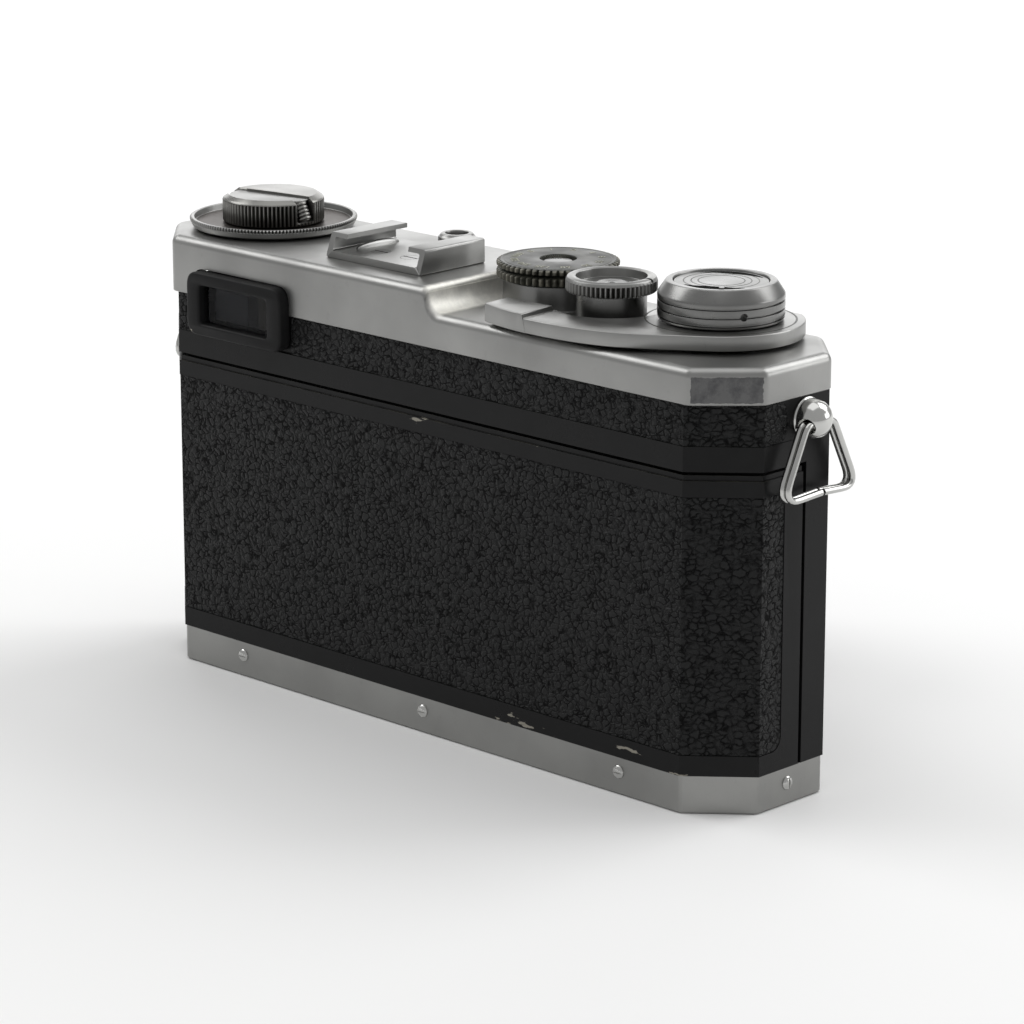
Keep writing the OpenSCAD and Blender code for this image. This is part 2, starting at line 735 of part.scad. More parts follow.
module release_button() color(satin) translate([release_axis[0], release_axis[1], 0]) rotate_extrude()
    polygon([
        [0, 67.5], [2, 67.5], [2, 75.6], [button_r, 75.6], [button_r, 78.5],
        for (a = [0:15:90]) [button_r - 0.5 + 0.5 * cos(a), 78.5 + 0.4 * sin(a)],
        [0, 78.9]
    ]);

// ---- rewind ----

rewind_dial_r = 14.5;
knob_r = 8.8;
knob_top = 82;
knob_shoulder = 81.3;
crank_turn = 10.4;      // the folded crank's direction, from +X
crank_hinge = 6.6;
crank_z = [81.05, 82];
crank_axis_z = 81.45;
crank_pin = 0.3;
grip_place = [-6.9, 2];
grip_tilt = 22;

module rewind_dial() color(satin) translate([rewind_axis[0], rewind_axis[1], 0]) difference() {
    union() {
        rotate_extrude() polygon([
            [0, 76.15], [13.6, 76.15], [14.2, 76.5], [14.2, 78], [0, 78]
        ]);
        translate([0, 0, 76.6]) linear_extrude(1.1) polygon(milled(150, rewind_dial_r, 0.3));
    }
    translate([0, 0, 76.9]) cylinder(h = 3, r = 13.3);
    translate([0, 0, 70]) cylinder(h = 10, r = 2.4 + run);
}

module knob_frame() {
    translate([rewind_axis[0], rewind_axis[1], 0]) rotate(crank_turn) children();
}

module crank_half(r) {
    intersection() {
        circle(r);
        translate([-10, 0]) square([10 + crank_hinge + 0.6, 10]);
    }
}

module rewind_knob() color(satin) knob_frame() difference() {
    union() {
        translate([0, 0, 77.2]) linear_extrude(knob_shoulder - 77.2)
            polygon(milled(rewind_flutes, knob_r, 0.35));
        rotate_extrude() polygon([
            [0, knob_shoulder - 0.1], [knob_r - 0.2, knob_shoulder - 0.1], [knob_r - 0.2, knob_shoulder],
            [7.7, knob_top], [0, knob_top]
        ]);
        translate([0, 0, 77.2 - 1]) cylinder(h = 1.1, r = 2.4);
    }
    // pocket of the folded crank
    translate([0, 0, crank_z[0] - 0.15]) linear_extrude(3) translate([0, -0.2]) crank_half(7.9);
    // hinge notch, open to the side
    box([crank_hinge - 0.9, 12], [-0.2, 4.6], [80.35, 85]);
    translate([crank_hinge, -0.7, crank_axis_z]) rotate([-90, 0, 0]) cylinder(h = 5.9, r = crank_pin + 0.06);
    // notch of the folded grip
    translate([grip_place[0], grip_place[1], crank_z[0]]) rotate([0, grip_tilt, 0])
        translate([0, 0, -3.6]) cylinder(h = 6, r = 1.75);
    box([-12, grip_place[0]], [grip_place[1] - 1.75, grip_place[1] + 1.75], [78, 85]);
}

module rewind_fork() color(steel) {
    post(rewind_axis, 2.4, 52.8, 76.18);
    translate([rewind_axis[0], rewind_axis[1], 51.2]) cube([1.2, 4.2, 4], center = true);
}

// The arm with its hinge pin.
module rewind_crank() color(satin) knob_frame() {
    translate([0, 0, crank_z[0]]) linear_extrude(crank_z[1] - crank_z[0]) crank_half(7.6);
    translate([crank_hinge, -0.6, crank_axis_z]) rotate([-90, 0, 0]) cylinder(h = 5.7, r = crank_pin);
}

// Ribbed barrel at the crank's end, leaning outwards below the arm.
module crank_grip() color(chrome) knob_frame() translate([grip_place[0], grip_place[1], crank_z[0]])
    rotate([0, grip_tilt, 0]) rotate_extrude() polygon([
        [0, -0.25],
        [1, -0.25],
        for (i = [0:3], p = [[1.3, 0.5], [1.3, 0.8], [1, 0.9], [1, 1.15]]) [p[0], -p[1] - 0.75 * i],
        [0, -3.4]
    ]);

// ---- removable back ----

module back_cover() color(black) difference() {
    intersection() {
        slab(back_inset, base_top, back_top);
        box([-body_w, body_w], [seam_y + seam_gap, body_d], [0, deck_high]);
    }
    slab(back_inset + back_wall, 0, deck_high);
    back_leather_shape(-1, leather_inset + skin + fit, fit);
    // soft upper edge
    difference() {
        slab(-1, back_top - 0.5, back_top + 1);
        slab(back_inset + 0.35, 0, deck_high);
    }
}

module back_leather_shape(t0, t1, g) {
    z = [9.7 - g, 51.5 + g];
    difference() {
        intersection() {
            slab(t0, z[0], z[1]);
            plate_yz([2.7 - g, 2 * body_d], z, 2.2);
        }
        slab(t1, 0, deck_high);
    }
}

module back_leatherette() color(leather) back_leather_shape(leather_inset, leather_inset + skin, 0);

plate_floor = 1.4;
key_x = 50;
key_r = 7.5;

module base_plate() color(satin) difference() {
    slab(base_inset, 0, base_top - fit);
    slab(base_inset + 1.2, plate_floor, base_top + 1);
    post([0, 0], socket_boss + fit, -1, 3);
    for (s = [-1, 1]) post([s * key_x, 0], key_r + 0.3, -1, 3);
    // small bevel round the lower edge
    difference() {
        slab(-1, -1, 0.3);
        slab(base_inset + 0.3, -1, 0.3);
    }
    for (p = base_screw_places) translate(p[0]) rotate(p[1]) cylinder(h = 6, r = 0.7, center = true);
}

side_face = body_w / 2 - base_inset;
rear_face = body_d / 2 - base_inset;
base_screw_places = [
    for (x = [-45.3, -0.9, 43.5]) [[x, rear_face, 3.8], [-90, 0, 0]],
    for (x = [-45.3, -0.9, 43.5]) [[x, -rear_face, 3.8], [90, 0, 0]],
    for (s = [-1, 1]) [[s * side_face, 0.6, 3.6], [0, s * 90, 0]]
];

module base_screws() color(chrome) for (p = base_screw_places) translate(p[0]) rotate(p[1]) {
    translate([0, 0, -1.3]) cylinder(h = 1.4, r = 0.7 - fit);
    difference() {
        rotate_extrude() polygon([[0, 0], for (a = [0:15:90]) [1.15 * cos(a), 0.6 * sin(a)]]);
        translate([0, 0, 0.6]) cube([4, 0.3, 0.5], center = true);
    }
}

module pressure_plate() color(black) {
    box([-22, 22], [film_y + 0.25, film_y + 1.45], [lens_z - 17, lens_z + 17]);
    // two bowed leaf springs that reach the inner wall of the back
    wall = body_d / 2 - back_inset - back_wall;
    foot = film_y + 1.4;
    for (z = [lens_z - 11, lens_z + 7]) translate([0, 0, z]) linear_extrude(4) polygon([
        [-20, foot], [-11, foot + 0.5], [-3, wall - 0.4], [0, wall - 0.25], [3, wall - 0.4], [11, foot + 0.5],
        [20, foot], [20, foot + 0.3], [11, foot + 0.8], [3, wall - 0.1], [0, wall], [-3, wall - 0.1],
        [-11, foot + 0.8], [-20, foot + 0.3]
    ]);
}

// ---- back locks ----

module key_disc(s) color(satin) translate([s * key_x, 0, 0]) difference() {
    union() {
        translate([0, 0, 0.2]) cylinder(h = 2.4, r = key_r);
        translate([0, 0, 1.6]) cylinder(h = 1, r = key_r + 1.4);
        translate([0, 0, 2.5]) cylinder(h = 2.4, r = 2.5);
        translate([-6, -1.8, 4]) cube([12, 3.6, 0.9]);
    }
    translate([0, 0, -1]) cylinder(h = 2.5, r = 6.6);
    rotate([0, 90, 0]) translate([-0.85, 0, -8]) cylinder(h = 16, r = 0.45);
}

module lock_key_right() key_disc(-1);
module lock_key_left() key_disc(1);

module folding_handle(s) color(satin) translate([s * key_x, 0, 0.4]) {
    linear_extrude(0.9) difference() {
        intersection() {
            circle(6.3);
            translate([-8, 0]) square([16, 8]);
        }
        circle(4.4);
    }
    translate([-7.2, 0, 0.45]) rotate([0, 90, 0]) cylinder(h = 14.4, r = 0.4);
}

module lock_handle_right() folding_handle(-1);
module lock_handle_left() folding_handle(1);

socket_r = 3.175;       // major radius of a quarter-inch thread
socket_boss = 5.5;

module tripod_socket() color(steel) difference() {
    union() {
        post([0, 0], socket_boss, 0, 6.1);
        post([0, 0], 8.5, plate_floor + 0.02, 2.6);
    }
    post([0, 0], socket_r, -1, 5.5);
}

// ---- lens ----

barrel_front = -34;
focus_y = [-44.5, barrel_front - 0.3];
aperture_y = [-52, -45];
head_r = 21.5;
filter_r = 20.25;

module lens_barrel() color(satin) difference() {
    union() {
        barrel(24, flange_y, -body_d / 2 + back_inset - 0.02);
        barrel(22.5, barrel_front, flange_y + 0.1);
        barrel(17.6, -56, barrel_front + 0.1);
        // front head with the filter seat
        barrel(head_r, -57.5, aperture_y[0] - 0.3);
    }
    barrel(16, -70, 20);
    barrel(filter_r, -60, -54.5);
}

module focus_ring() color(satin) difference() {
    translate([0, focus_y[1], lens_z]) rotate([90, 0, 0]) {
        linear_extrude(focus_y[1] - focus_y[0]) polygon(milled(72, 23.8, 0.5, 0.4));
    }
    barrel(17.6 + run, -70, 20);
}

module aperture_ring() color(satin) difference() {
    union() {
        barrel(20.4, aperture_y[0], aperture_y[1]);
        translate([0, aperture_y[0] + 3, lens_z]) rotate([90, 0, 0])
            linear_extrude(2.4) polygon(milled(60, 21.4, 0.5, 0.4));
    }
    barrel(17.6 + run, -70, 20);
}

// Front cell, iris and rear cell.
module lens_optics() color(glass) translate([0, 0, lens_z]) rotate([90, 0, 0]) {
    rotate_extrude() polygon([
        [0, 47], [16 - fit, 47], [16 - fit, 51.5], for (x = [14:-2:0]) [x, 51.5 + 3 * (1 - pow(x / 14, 2))]
    ]);
    translate([0, 0, 40]) linear_extrude(0.6) difference() {
        circle(16 - fit);
        circle(9, $fn = 10);
    }
    rotate_extrude() polygon([
        [0, 26.5], [16 - fit, 26.5], [16 - fit, 31], for (x = [14:-2:0]) [x, 31 + 2 * (1 - pow(x / 14, 2))]
    ]);
}

body_casting();
front_leatherette();
leather_band();
top_cover();
cover_screws();
eyepiece_frame();
eyepiece_glass();
window_frames();
window_glasses();
finder_block();
rangefinder_prism();
accessory_shoe();
shoe_spring();
shoe_screws();
collar_screw();
strap_lugs();
film_gate();
shutter_curtain();
mechanism_plate();
tripod_socket();
dial_base();
release_guard();
counter_housing();
counter_cover();
counter_pin();
counter_disc();
advance_lever();
wind_gear();
idler_gear();
sprocket();
sprocket_gear();
takeup_spool();
takeup_gear();
curtain_drum();
spring_roller();
slow_speed_dial();
fast_speed_dial();
dial_screw();
release_collar();
release_button();
rewind_dial();
rewind_knob();
rewind_fork();
rewind_crank();
crank_grip();
strap_ring_right();
strap_ring_left();
back_cover();
back_leatherette();
base_plate();
base_screws();
pressure_plate();
lock_key_right();
lock_key_left();
lock_handle_right();
lock_handle_left();
lens_barrel();
lens_optics();
focus_ring();
aperture_ring();
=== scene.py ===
"""Looks of the rangefinder camera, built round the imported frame."""
import json
import math

import bmesh
import bpy
from mathutils import Matrix, Vector


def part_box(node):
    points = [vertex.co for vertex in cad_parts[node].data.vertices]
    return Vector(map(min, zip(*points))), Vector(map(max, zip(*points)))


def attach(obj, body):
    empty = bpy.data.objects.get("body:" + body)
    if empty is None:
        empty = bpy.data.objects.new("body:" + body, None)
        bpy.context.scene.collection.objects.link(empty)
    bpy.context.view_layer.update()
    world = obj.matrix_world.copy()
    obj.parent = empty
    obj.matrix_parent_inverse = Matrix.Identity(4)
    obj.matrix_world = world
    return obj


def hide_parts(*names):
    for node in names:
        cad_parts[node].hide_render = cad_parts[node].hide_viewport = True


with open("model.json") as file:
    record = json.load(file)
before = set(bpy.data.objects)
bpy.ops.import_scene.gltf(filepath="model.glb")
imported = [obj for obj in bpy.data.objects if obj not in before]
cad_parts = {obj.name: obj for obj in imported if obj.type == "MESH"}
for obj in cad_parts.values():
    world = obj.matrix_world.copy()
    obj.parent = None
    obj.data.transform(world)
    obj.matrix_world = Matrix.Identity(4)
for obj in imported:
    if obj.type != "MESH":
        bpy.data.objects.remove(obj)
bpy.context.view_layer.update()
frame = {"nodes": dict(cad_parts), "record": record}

MM = 0.001
TAU = 2 * math.pi
scene = bpy.context.scene

# ---- sizes shared with the frame, in millimetres ----

BODY_W, BODY_D = 136.0, 32.2
CHAMFER_X, CHAMFER_Y = 8.5, 8.3
COVER_BOTTOM, DECK_LOW, DECK_HIGH = 66.2, 72.0, 76.0
ADVANCE = (-48.0, -4.4)
RELEASE = (-29.3, 0.8)
DIAL = (-12.3, -4.7)
REWIND = (52.75, -1.4)
LENS_Z = 34.0
# distances forward of the body's middle, along the lens's axis
FLANGE, BARREL_FRONT = 26.1, 34.0
FOCUS, APERTURE = (34.3, 44.5), (45.0, 52.0)
HEAD_R, FILTER_R = 21.5, 20.25
# the bore of the left-hand strap lug, which the right-hand one mirrors
EYE = (70.2, -2.0, 62.0)
# faces that meet at more than this many degrees have a sharp edge
SHARP = 32


# ---- materials ----

class Look:
    """A node material, with a Principled shader whose sockets are set by name."""

    def __init__(self, name, **sockets):
        self.mat = bpy.data.materials.new(name)
        self.mat.use_nodes = True
        self.tree = self.mat.node_tree
        self.tree.nodes.clear()
        out = self.tree.nodes.new("ShaderNodeOutputMaterial")
        self.bsdf = self.tree.nodes.new("ShaderNodeBsdfPrincipled")
        self.tree.links.new(self.bsdf.outputs[0], out.inputs[0])
        self.set(self.bsdf, sockets)
        self.coords = self.tree.nodes.new("ShaderNodeTexCoord").outputs["Object"]

    def set(self, node, sockets):
        """Links or sets a node's inputs, which are given by name or by number."""
        for key, value in sockets.items():
            socket = node.inputs[key if isinstance(key, int) else key.replace("_", " ")]
            if isinstance(value, bpy.types.NodeSocket):
                self.tree.links.new(value, socket)
            else:
                socket.default_value = value

    def node(self, kind, props=None, out=0, **sockets):
        """Adds a node and returns one of its outputs."""
        n = self.tree.nodes.new("ShaderNode" + kind)
        for key, value in (props or {}).items():
            setattr(n, key, value)
        self.set(n, sockets)
        return n.outputs[out]

    def noise(self, scale, detail=3.0, stretch=(1, 1, 1), rough=0.5):
        place = self.node("Mapping", Vector=self.coords, Scale=stretch)
        return self.node("TexNoise", Vector=place, Scale=scale, Detail=detail, Roughness=rough)

    def ramp(self, value, lo, hi, out_lo=0.0, out_hi=1.0):
        """A straight ramp between two values, level outside them."""
        return self.node("MapRange", {"clamp": True}, Value=value, From_Min=lo, From_Max=hi,
                         To_Min=out_lo, To_Max=out_hi)

    def math(self, op, a, b=0.0):
        n = self.tree.nodes.new("ShaderNodeMath")
        n.operation = op
        self.set(n, {0: a, 1: b})
        return n.outputs[0]

    def mix(self, factor, a, b):
        n = self.tree.nodes.new("ShaderNodeMix")
        n.data_type = "RGBA"
        for i, value in ((0, factor), (6, a), (7, b)):
            if isinstance(value, bpy.types.NodeSocket):
                self.tree.links.new(value, n.inputs[i])
            else:
                n.inputs[i].default_value = (*value, 1) if i else value
        return n.outputs[2]

    def attribute(self, name):
        return self.node("Attribute", {"attribute_name": name}, out=2)

    def bump(self, height, strength, distance):
        return self.node("Bump", Height=height, Strength=strength, Distance=distance * MM)

    def box_mask(self, lo, hi, soft=0.12, fade=0.03):
        """1 inside a box given in millimetres, with ragged edges that fade out."""
        x, y, z = (self.node("SeparateXYZ", Vector=self.coords, out=i) for i in range(3))
        ragged = self.ramp(self.noise(900, 3), 0.3, 0.7, -soft * MM, soft * MM)
        mask = None
        for value, a, b in zip((x, y, z), lo, hi):
            value = self.math("ADD", value, ragged)
            inside = self.math("MULTIPLY", self.ramp(value, a * MM, (a + fade) * MM),
                               self.ramp(value, (b - fade) * MM, b * MM, 1.0, 0.0))
            mask = inside if mask is None else self.math("MULTIPLY", mask, inside)
        return mask


def satin(name, tone, rough=0.36, grain=0.12, patches=(), brushed=(1, 1, 1)):
    """Blasted and plated metal: fine grain, cloudy tone, handling marks, and grime with painted shade that
    darkens the valleys of knurls.
    """
    m = Look(name, Metallic=1.0)
    cloud = m.noise(60, 4)
    fine = m.noise(5200, 2, brushed)
    marks = m.ramp(m.noise(330, 5, (1, 5, 1), 0.7), 0.60, 0.72)
    grime_and_shade = m.attribute("grime_and_shade")
    dark = tuple(v * 0.80 for v in tone)
    colour = m.mix(m.ramp(cloud, 0.3, 0.7), dark, tone)
    colour = m.mix(m.math("MULTIPLY", marks, 0.16), colour, tuple(v * 0.45 for v in tone))
    # grime and painted shade: knurl valleys darkened almost to black
    colour = m.mix(m.math("MULTIPLY", grime_and_shade, 0.9), colour, (0.028, 0.026, 0.022))
    roughness = m.ramp(m.noise(140, 4), 0.25, 0.75, rough - 0.05, rough + 0.07)
    # these patches paint light into the colour: a dark reflection, and a highlight with tarnish
    for lo, hi, amount, patch_tone, rougher, fade in patches:
        patch_mottle = m.ramp(m.noise(420, 6, (1, 1, 1), 0.75), 0.42, 0.66, 0.75, 1.0)
        mask = m.math("MULTIPLY", m.math("MULTIPLY", m.box_mask(lo, hi, fade=fade), patch_mottle), amount)
        colour = m.mix(mask, colour, patch_tone)
        roughness = m.math("ADD", roughness, m.math("MULTIPLY", mask, rougher))
    normal = m.bump(fine, grain, 0.012)
    m.set(m.bsdf, {"Base Color": colour, "Roughness": roughness, "Normal": normal})
    return m.mat


def paint(name, tone=(0.006, 0.006, 0.0062), rough=0.3, chips=(), specular=0.15):
    """Semi-gloss black enamel with orange peel, dull patches and chips down to the metal."""
    m = Look(name, Specular_IOR_Level=specular)
    dust = m.ramp(m.noise(240, 6, (1, 1, 1), 0.7), 0.45, 0.8)
    colour = m.mix(m.math("MULTIPLY", dust, 0.35), tone, tuple(v * 2.1 for v in tone))
    roughness = m.ramp(m.noise(90, 4), 0.3, 0.7, rough - 0.06, rough + 0.1)
    metal = None
    for lo, hi, threshold in chips:
        spots = m.ramp(m.noise(300, 5, (0.35, 0.35, 1.5), 0.62), threshold, threshold + 0.012)
        chip = m.math("MULTIPLY", m.box_mask(lo, hi, 0.15), spots)
        metal = chip if metal is None else m.math("MAXIMUM", metal, chip)
    if metal is not None:
        colour = m.mix(metal, colour, (0.25, 0.235, 0.20))
    # rim bevels: rubbed paint and painted highlight lines, a light brown
    rubbed_and_highlit = m.math("MULTIPLY", m.attribute("edge"), m.ramp(m.noise(160, 5, (1, 1, 1), 0.65), 0.42, 0.62))
    colour = m.mix(rubbed_and_highlit, colour, (0.075, 0.070, 0.055))
    normal = m.bump(m.noise(1500, 2), 0.12, 0.02)
    m.set(m.bsdf, {"Base Color": colour, "Roughness": roughness, "Normal": normal})
    return m.mat


def leather(name):
    """Pebbled leatherette: soft, slightly drawn-out pebbles with pits between them, painted dark as their
    shade.
    """
    m = Look(name, Specular_IOR_Level=0.16)
    bend = m.node("TexNoise", Vector=m.coords, Scale=900.0, Detail=2.0, out=1)
    moved = m.node("VectorMath", {"operation": "MULTIPLY_ADD"})
    m.set(moved.node, {0: bend, 1: (0.0011, 0.0011, 0.0011), 2: m.coords})
    place = m.node("Mapping", Vector=moved, Scale=(0.9, 0.9, 1.3))
    near, far = (m.node("TexVoronoi", {"feature": f}, Vector=place, Scale=800.0) for f in ("F1", "F2"))
    apart = m.math("SUBTRACT", far, near)
    smooth = {"interpolation_type": "SMOOTHSTEP"}
    dome = m.node("MapRange", smooth, Value=apart, From_Min=-0.08, From_Max=0.42)
    pit_shade = m.node("MapRange", smooth, Value=apart, From_Min=0.02, From_Max=0.21, To_Min=1.0, To_Max=0.0)
    pit_shade = m.math("MULTIPLY", pit_shade, m.ramp(m.noise(640, 2), 0.36, 0.56))
    height = m.math("ADD", dome, m.math("MULTIPLY", m.noise(2600, 3), 0.12))
    height = m.math("SUBTRACT", height, m.math("MULTIPLY", pit_shade, 0.5))
    broad = m.ramp(m.noise(45, 4), 0.35, 0.75)
    colour = m.mix(m.math("MULTIPLY", broad, 0.5), (0.0098, 0.0101, 0.0103), (0.0145, 0.0147, 0.0148))
    # pits painted near black as the shade between pebbles
    colour = m.mix(pit_shade, colour, (0.0004, 0.0004, 0.0005))
    roughness = m.ramp(pit_shade, 0.0, 1.0, 0.42, 0.9)
    m.set(m.bsdf, {"Base Color": colour, "Roughness": roughness, "Normal": m.bump(height, 1.0, 0.26)})
    return m.mat


def glass(name, tint=(0.008, 0.0085, 0.010), clear=0.6, specular=0.5):
    """Thin coated glass, seen through by its alpha, with a little dust."""
    m = Look(name, Alpha=1 - clear, IOR=1.5, Specular_IOR_Level=specular)
    colour = m.mix(m.ramp(m.noise(30, 2), 0.3, 0.7), tint, tuple(v * 0.8 for v in tint))
    dusty = m.ramp(m.noise(900, 4), 0.55, 0.8, 0.03, 0.14)
    m.set(m.bsdf, {"Base Color": colour, "Roughness": dusty})
    return m.mat


def cloth(name):
    """Rubbered shutter cloth, with its weave."""
    m = Look(name, Specular_IOR_Level=0.2)
    warp = m.node("TexWave", {"bands_direction": "X"}, Vector=m.coords, Scale=900.0, Distortion=0.6)
    weft = m.node("TexWave", {"bands_direction": "Z"}, Vector=m.coords, Scale=900.0, Distortion=0.6)
    weave = m.math("ADD", warp, weft)
    colour = m.mix(m.ramp(weave, 0.4, 1.6), (0.006, 0.006, 0.007), (0.02, 0.02, 0.023))
    m.set(m.bsdf, {"Base Color": colour, "Roughness": m.ramp(m.noise(300, 3), 0.3, 0.7, 0.7, 0.9),
                   "Normal": m.bump(weave, 0.4, 0.03)})
    return m.mat


def dial_black(name):
    """Black anodised metal, olive with age, with crests rubbed bright."""
    m = Look(name, Metallic=0.35, Specular_IOR_Level=0.5)
    tired = m.ramp(m.noise(260, 5, (1, 1, 1), 0.65), 0.4, 0.7)
    colour = m.mix(tired, (0.016, 0.017, 0.014), (0.045, 0.047, 0.034))
    worn = m.math("MULTIPLY", m.attribute("worn"), m.ramp(m.noise(500, 4), 0.25, 0.65))
    colour = m.mix(worn, colour, (0.23, 0.22, 0.18))
    m.set(m.bsdf, {"Base Color": colour, "Roughness": m.ramp(m.noise(200, 4), 0.3, 0.7, 0.34, 0.52),
                   "Normal": m.bump(m.noise(3000, 2), 0.1, 0.01)})
    return m.mat


TONE = (0.33, 0.33, 0.322)
BRIGHT = (0.56, 0.56, 0.545)
# patches painted on satin metal, both holding painted light: box from, box to, amount, tone, extra roughness,
# fade
# a painted dark reflection filling the cover's rear chamfer face, mottled by scuffs
CHAMFER_REFLECTION = ((-67.7, 7.9, 66.6), (-59.7, 17, 70.7), 1.0, (0.08, 0.08, 0.083), 0.05, 0.03)
# the step's slope painted near white: speckled tarnish and a painted highlight
TARNISH_AND_HIGHLIGHT = ((-6.0, -18, 70.5), (-0.6, 16.05, 77.0), 1.0, (0.85, 0.84, 0.79), 0.3, 1.2)

looks = {
    "cover": satin("satin_cover", TONE, 0.36, 0.16, (CHAMFER_REFLECTION, TARNISH_AND_HIGHLIGHT)),
    "satin_chrome": satin("satin_chrome", TONE, 0.34, 0.14),
    "base": satin("satin_base", (0.325, 0.325, 0.315), 0.32, 0.08),
    "turned": satin("turned_chrome", (0.22, 0.22, 0.215), 0.28, 0.2, (), (1, 1, 14)),
    "bright_chrome": satin("bright_chrome", BRIGHT, 0.16, 0.03),
    "black_paint": paint("black_paint", chips=(((-45, 15, 52.9), (40, 17, 54.4), 0.63),
                                              ((-67, 6, 6.3), (-10, 17, 8.4), 0.66))),
    "window_black": paint("window_black", (0.0115, 0.0115, 0.0118), 0.42, specular=0.1,
                          chips=(((52.6, 15, 59.8), (54.2, 19, 60.8), 0.3),)),
    "leatherette": leather("leatherette"),
    "steel": satin("steel", (0.33, 0.33, 0.33), 0.3, 0.1, (), (1, 1, 9)),
    "brass": satin("brass", (0.62, 0.46, 0.20), 0.3, 0.1),
    "glass": glass("glass", clear=0.5),
    # finder tones: painted view through the eyepiece; finder_dark also colours the counter scale
    "finder_grey": paint("finder_grey", (0.034, 0.035, 0.041), 0.5, specular=0.05),
    "finder_dark": paint("finder_dark", (0.012, 0.012, 0.014), 0.5, specular=0.05),
    "finder_warm": paint("finder_warm", (0.045, 0.042, 0.037), 0.5, specular=0.05),
    "lens_glass": glass("lens_glass", (0.010, 0.007, 0.018), 0.35, 0.6),
    "eye_glass": glass("eye_glass", clear=0.75, specular=0.3),
    "steel_dark": satin("blade_steel", (0.02, 0.02, 0.022), 0.5, 0.02),
    "engraving": paint("engraving", (0.008, 0.008, 0.008), 0.5),
    "curtain_cloth": cloth("curtain_cloth"),
    "black_anodised": dial_black("black_anodised"),
    "numeral": paint("numeral_fill", (0.33, 0.33, 0.27), 0.5),
    "reminder": satin("reminder_plate", (0.10, 0.088, 0.08), 0.42, 0.2),
    "knob_metal": satin("knob_metal", (0.25, 0.247, 0.235), 0.3, 0.12),
}

# ---- carried-over nodes: every one gets its look ----

record_slot = {s["node"]: s["material_slot"] for s in frame["record"]["subparts"]}
# nodes that don't take the look named like their slot
special = {"window_frames": "window_black", "shoe_screws": "turned", "counter_pin": "turned",
           "eyepiece_glass": "eye_glass"}
for name, obj in frame["nodes"].items():
    look = looks[special.get(name, record_slot[name])]
    obj.data.materials.clear()
    obj.data.materials.append(look)


# ---- mesh building ----

def spot(x, y, z, angle=0.0, axis="Z"):
    """A place in millimetres, turned by degrees about an axis, as a matrix in metres."""
    return Matrix.Translation((x * MM, y * MM, z * MM)) @ Matrix.Rotation(math.radians(angle), 4, axis)


def shape_object(name, bm, body, look, nodes=(), sharp=SHARP):
    """Makes a piece from a bmesh, and says what it rides on and which nodes it stands for."""
    bmesh.ops.recalc_face_normals(bm, faces=bm.faces)
    for face in bm.faces:
        face.smooth = True
    mesh = bpy.data.meshes.new(name)
    bm.to_mesh(mesh)
    bm.free()
    mesh.set_sharp_from_angle(angle=math.radians(sharp))
    mesh.materials.append(looks[look])
    obj = bpy.data.objects.new(name, mesh)
    scene.collection.objects.link(obj)
    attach(obj, body)
    for node in nodes:
        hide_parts(node)
    return obj


def evaluated(obj):
    """The mesh of an object with its modifiers applied."""
    depsgraph = bpy.context.evaluated_depsgraph_get()
    return bpy.data.meshes.new_from_object(obj.evaluated_get(depsgraph))


def meshed(data):
    """The mesh of a curve or a text."""
    temp = bpy.data.objects.new(data.name, data)
    scene.collection.objects.link(temp)
    bpy.context.view_layer.update()
    mesh = evaluated(temp)
    bpy.data.objects.remove(temp)
    return mesh


def add_line(curve, points, closed=False):
    """Adds a polyline to a curve."""
    spline = curve.splines.new("POLY")
    spline.points.add(len(points) - 1)
    for point, place in zip(spline.points, points):
        point.co = (*place, 1)
    spline.use_cyclic_u = closed


def keep_normals(obj):
    """Flat faces stay flat beside rounded edges."""
    normals = obj.modifiers.new("normals", "WEIGHTED_NORMAL")
    normals.keep_sharp = True


def bridge(bm, a, b, closed=True):
    """Faces between two rows of vertices; a row of one vertex makes a fan."""
    n = max(len(a), len(b))
    if n == 1:
        return
    for i in range(n if closed else n - 1):
        j = (i + 1) % n
        face = [a[0]] if len(a) == 1 else [a[i], a[j]]
        face += [b[0]] if len(b) == 1 else [b[j], b[i]]
        bm.faces.new(face)


def rounded(points, radius, steps=4):
    """The open polyline with its inner corners rounded; a point may carry its own radius."""
    out = [tuple(points[0][:2])]
    for a, b, c in zip(points, points[1:], points[2:]):
        r = b[2] if len(b) > 2 else radius
        a, c, p = Vector(a[:2]), Vector(c[:2]), Vector(b[:2])
        u, v = (a - p), (c - p)
        reach = min(r, u.length * 0.45, v.length * 0.45)
        if reach < 1e-4:
            out.append(tuple(p))
            continue
        start, end = p + u.normalized() * reach, p + v.normalized() * reach
        for i in range(steps + 1):
            t = i / steps
            out.append(tuple((1 - t) ** 2 * start + 2 * t * (1 - t) * p + t * t * end))
    out.append(tuple(points[-1][:2]))
    return out


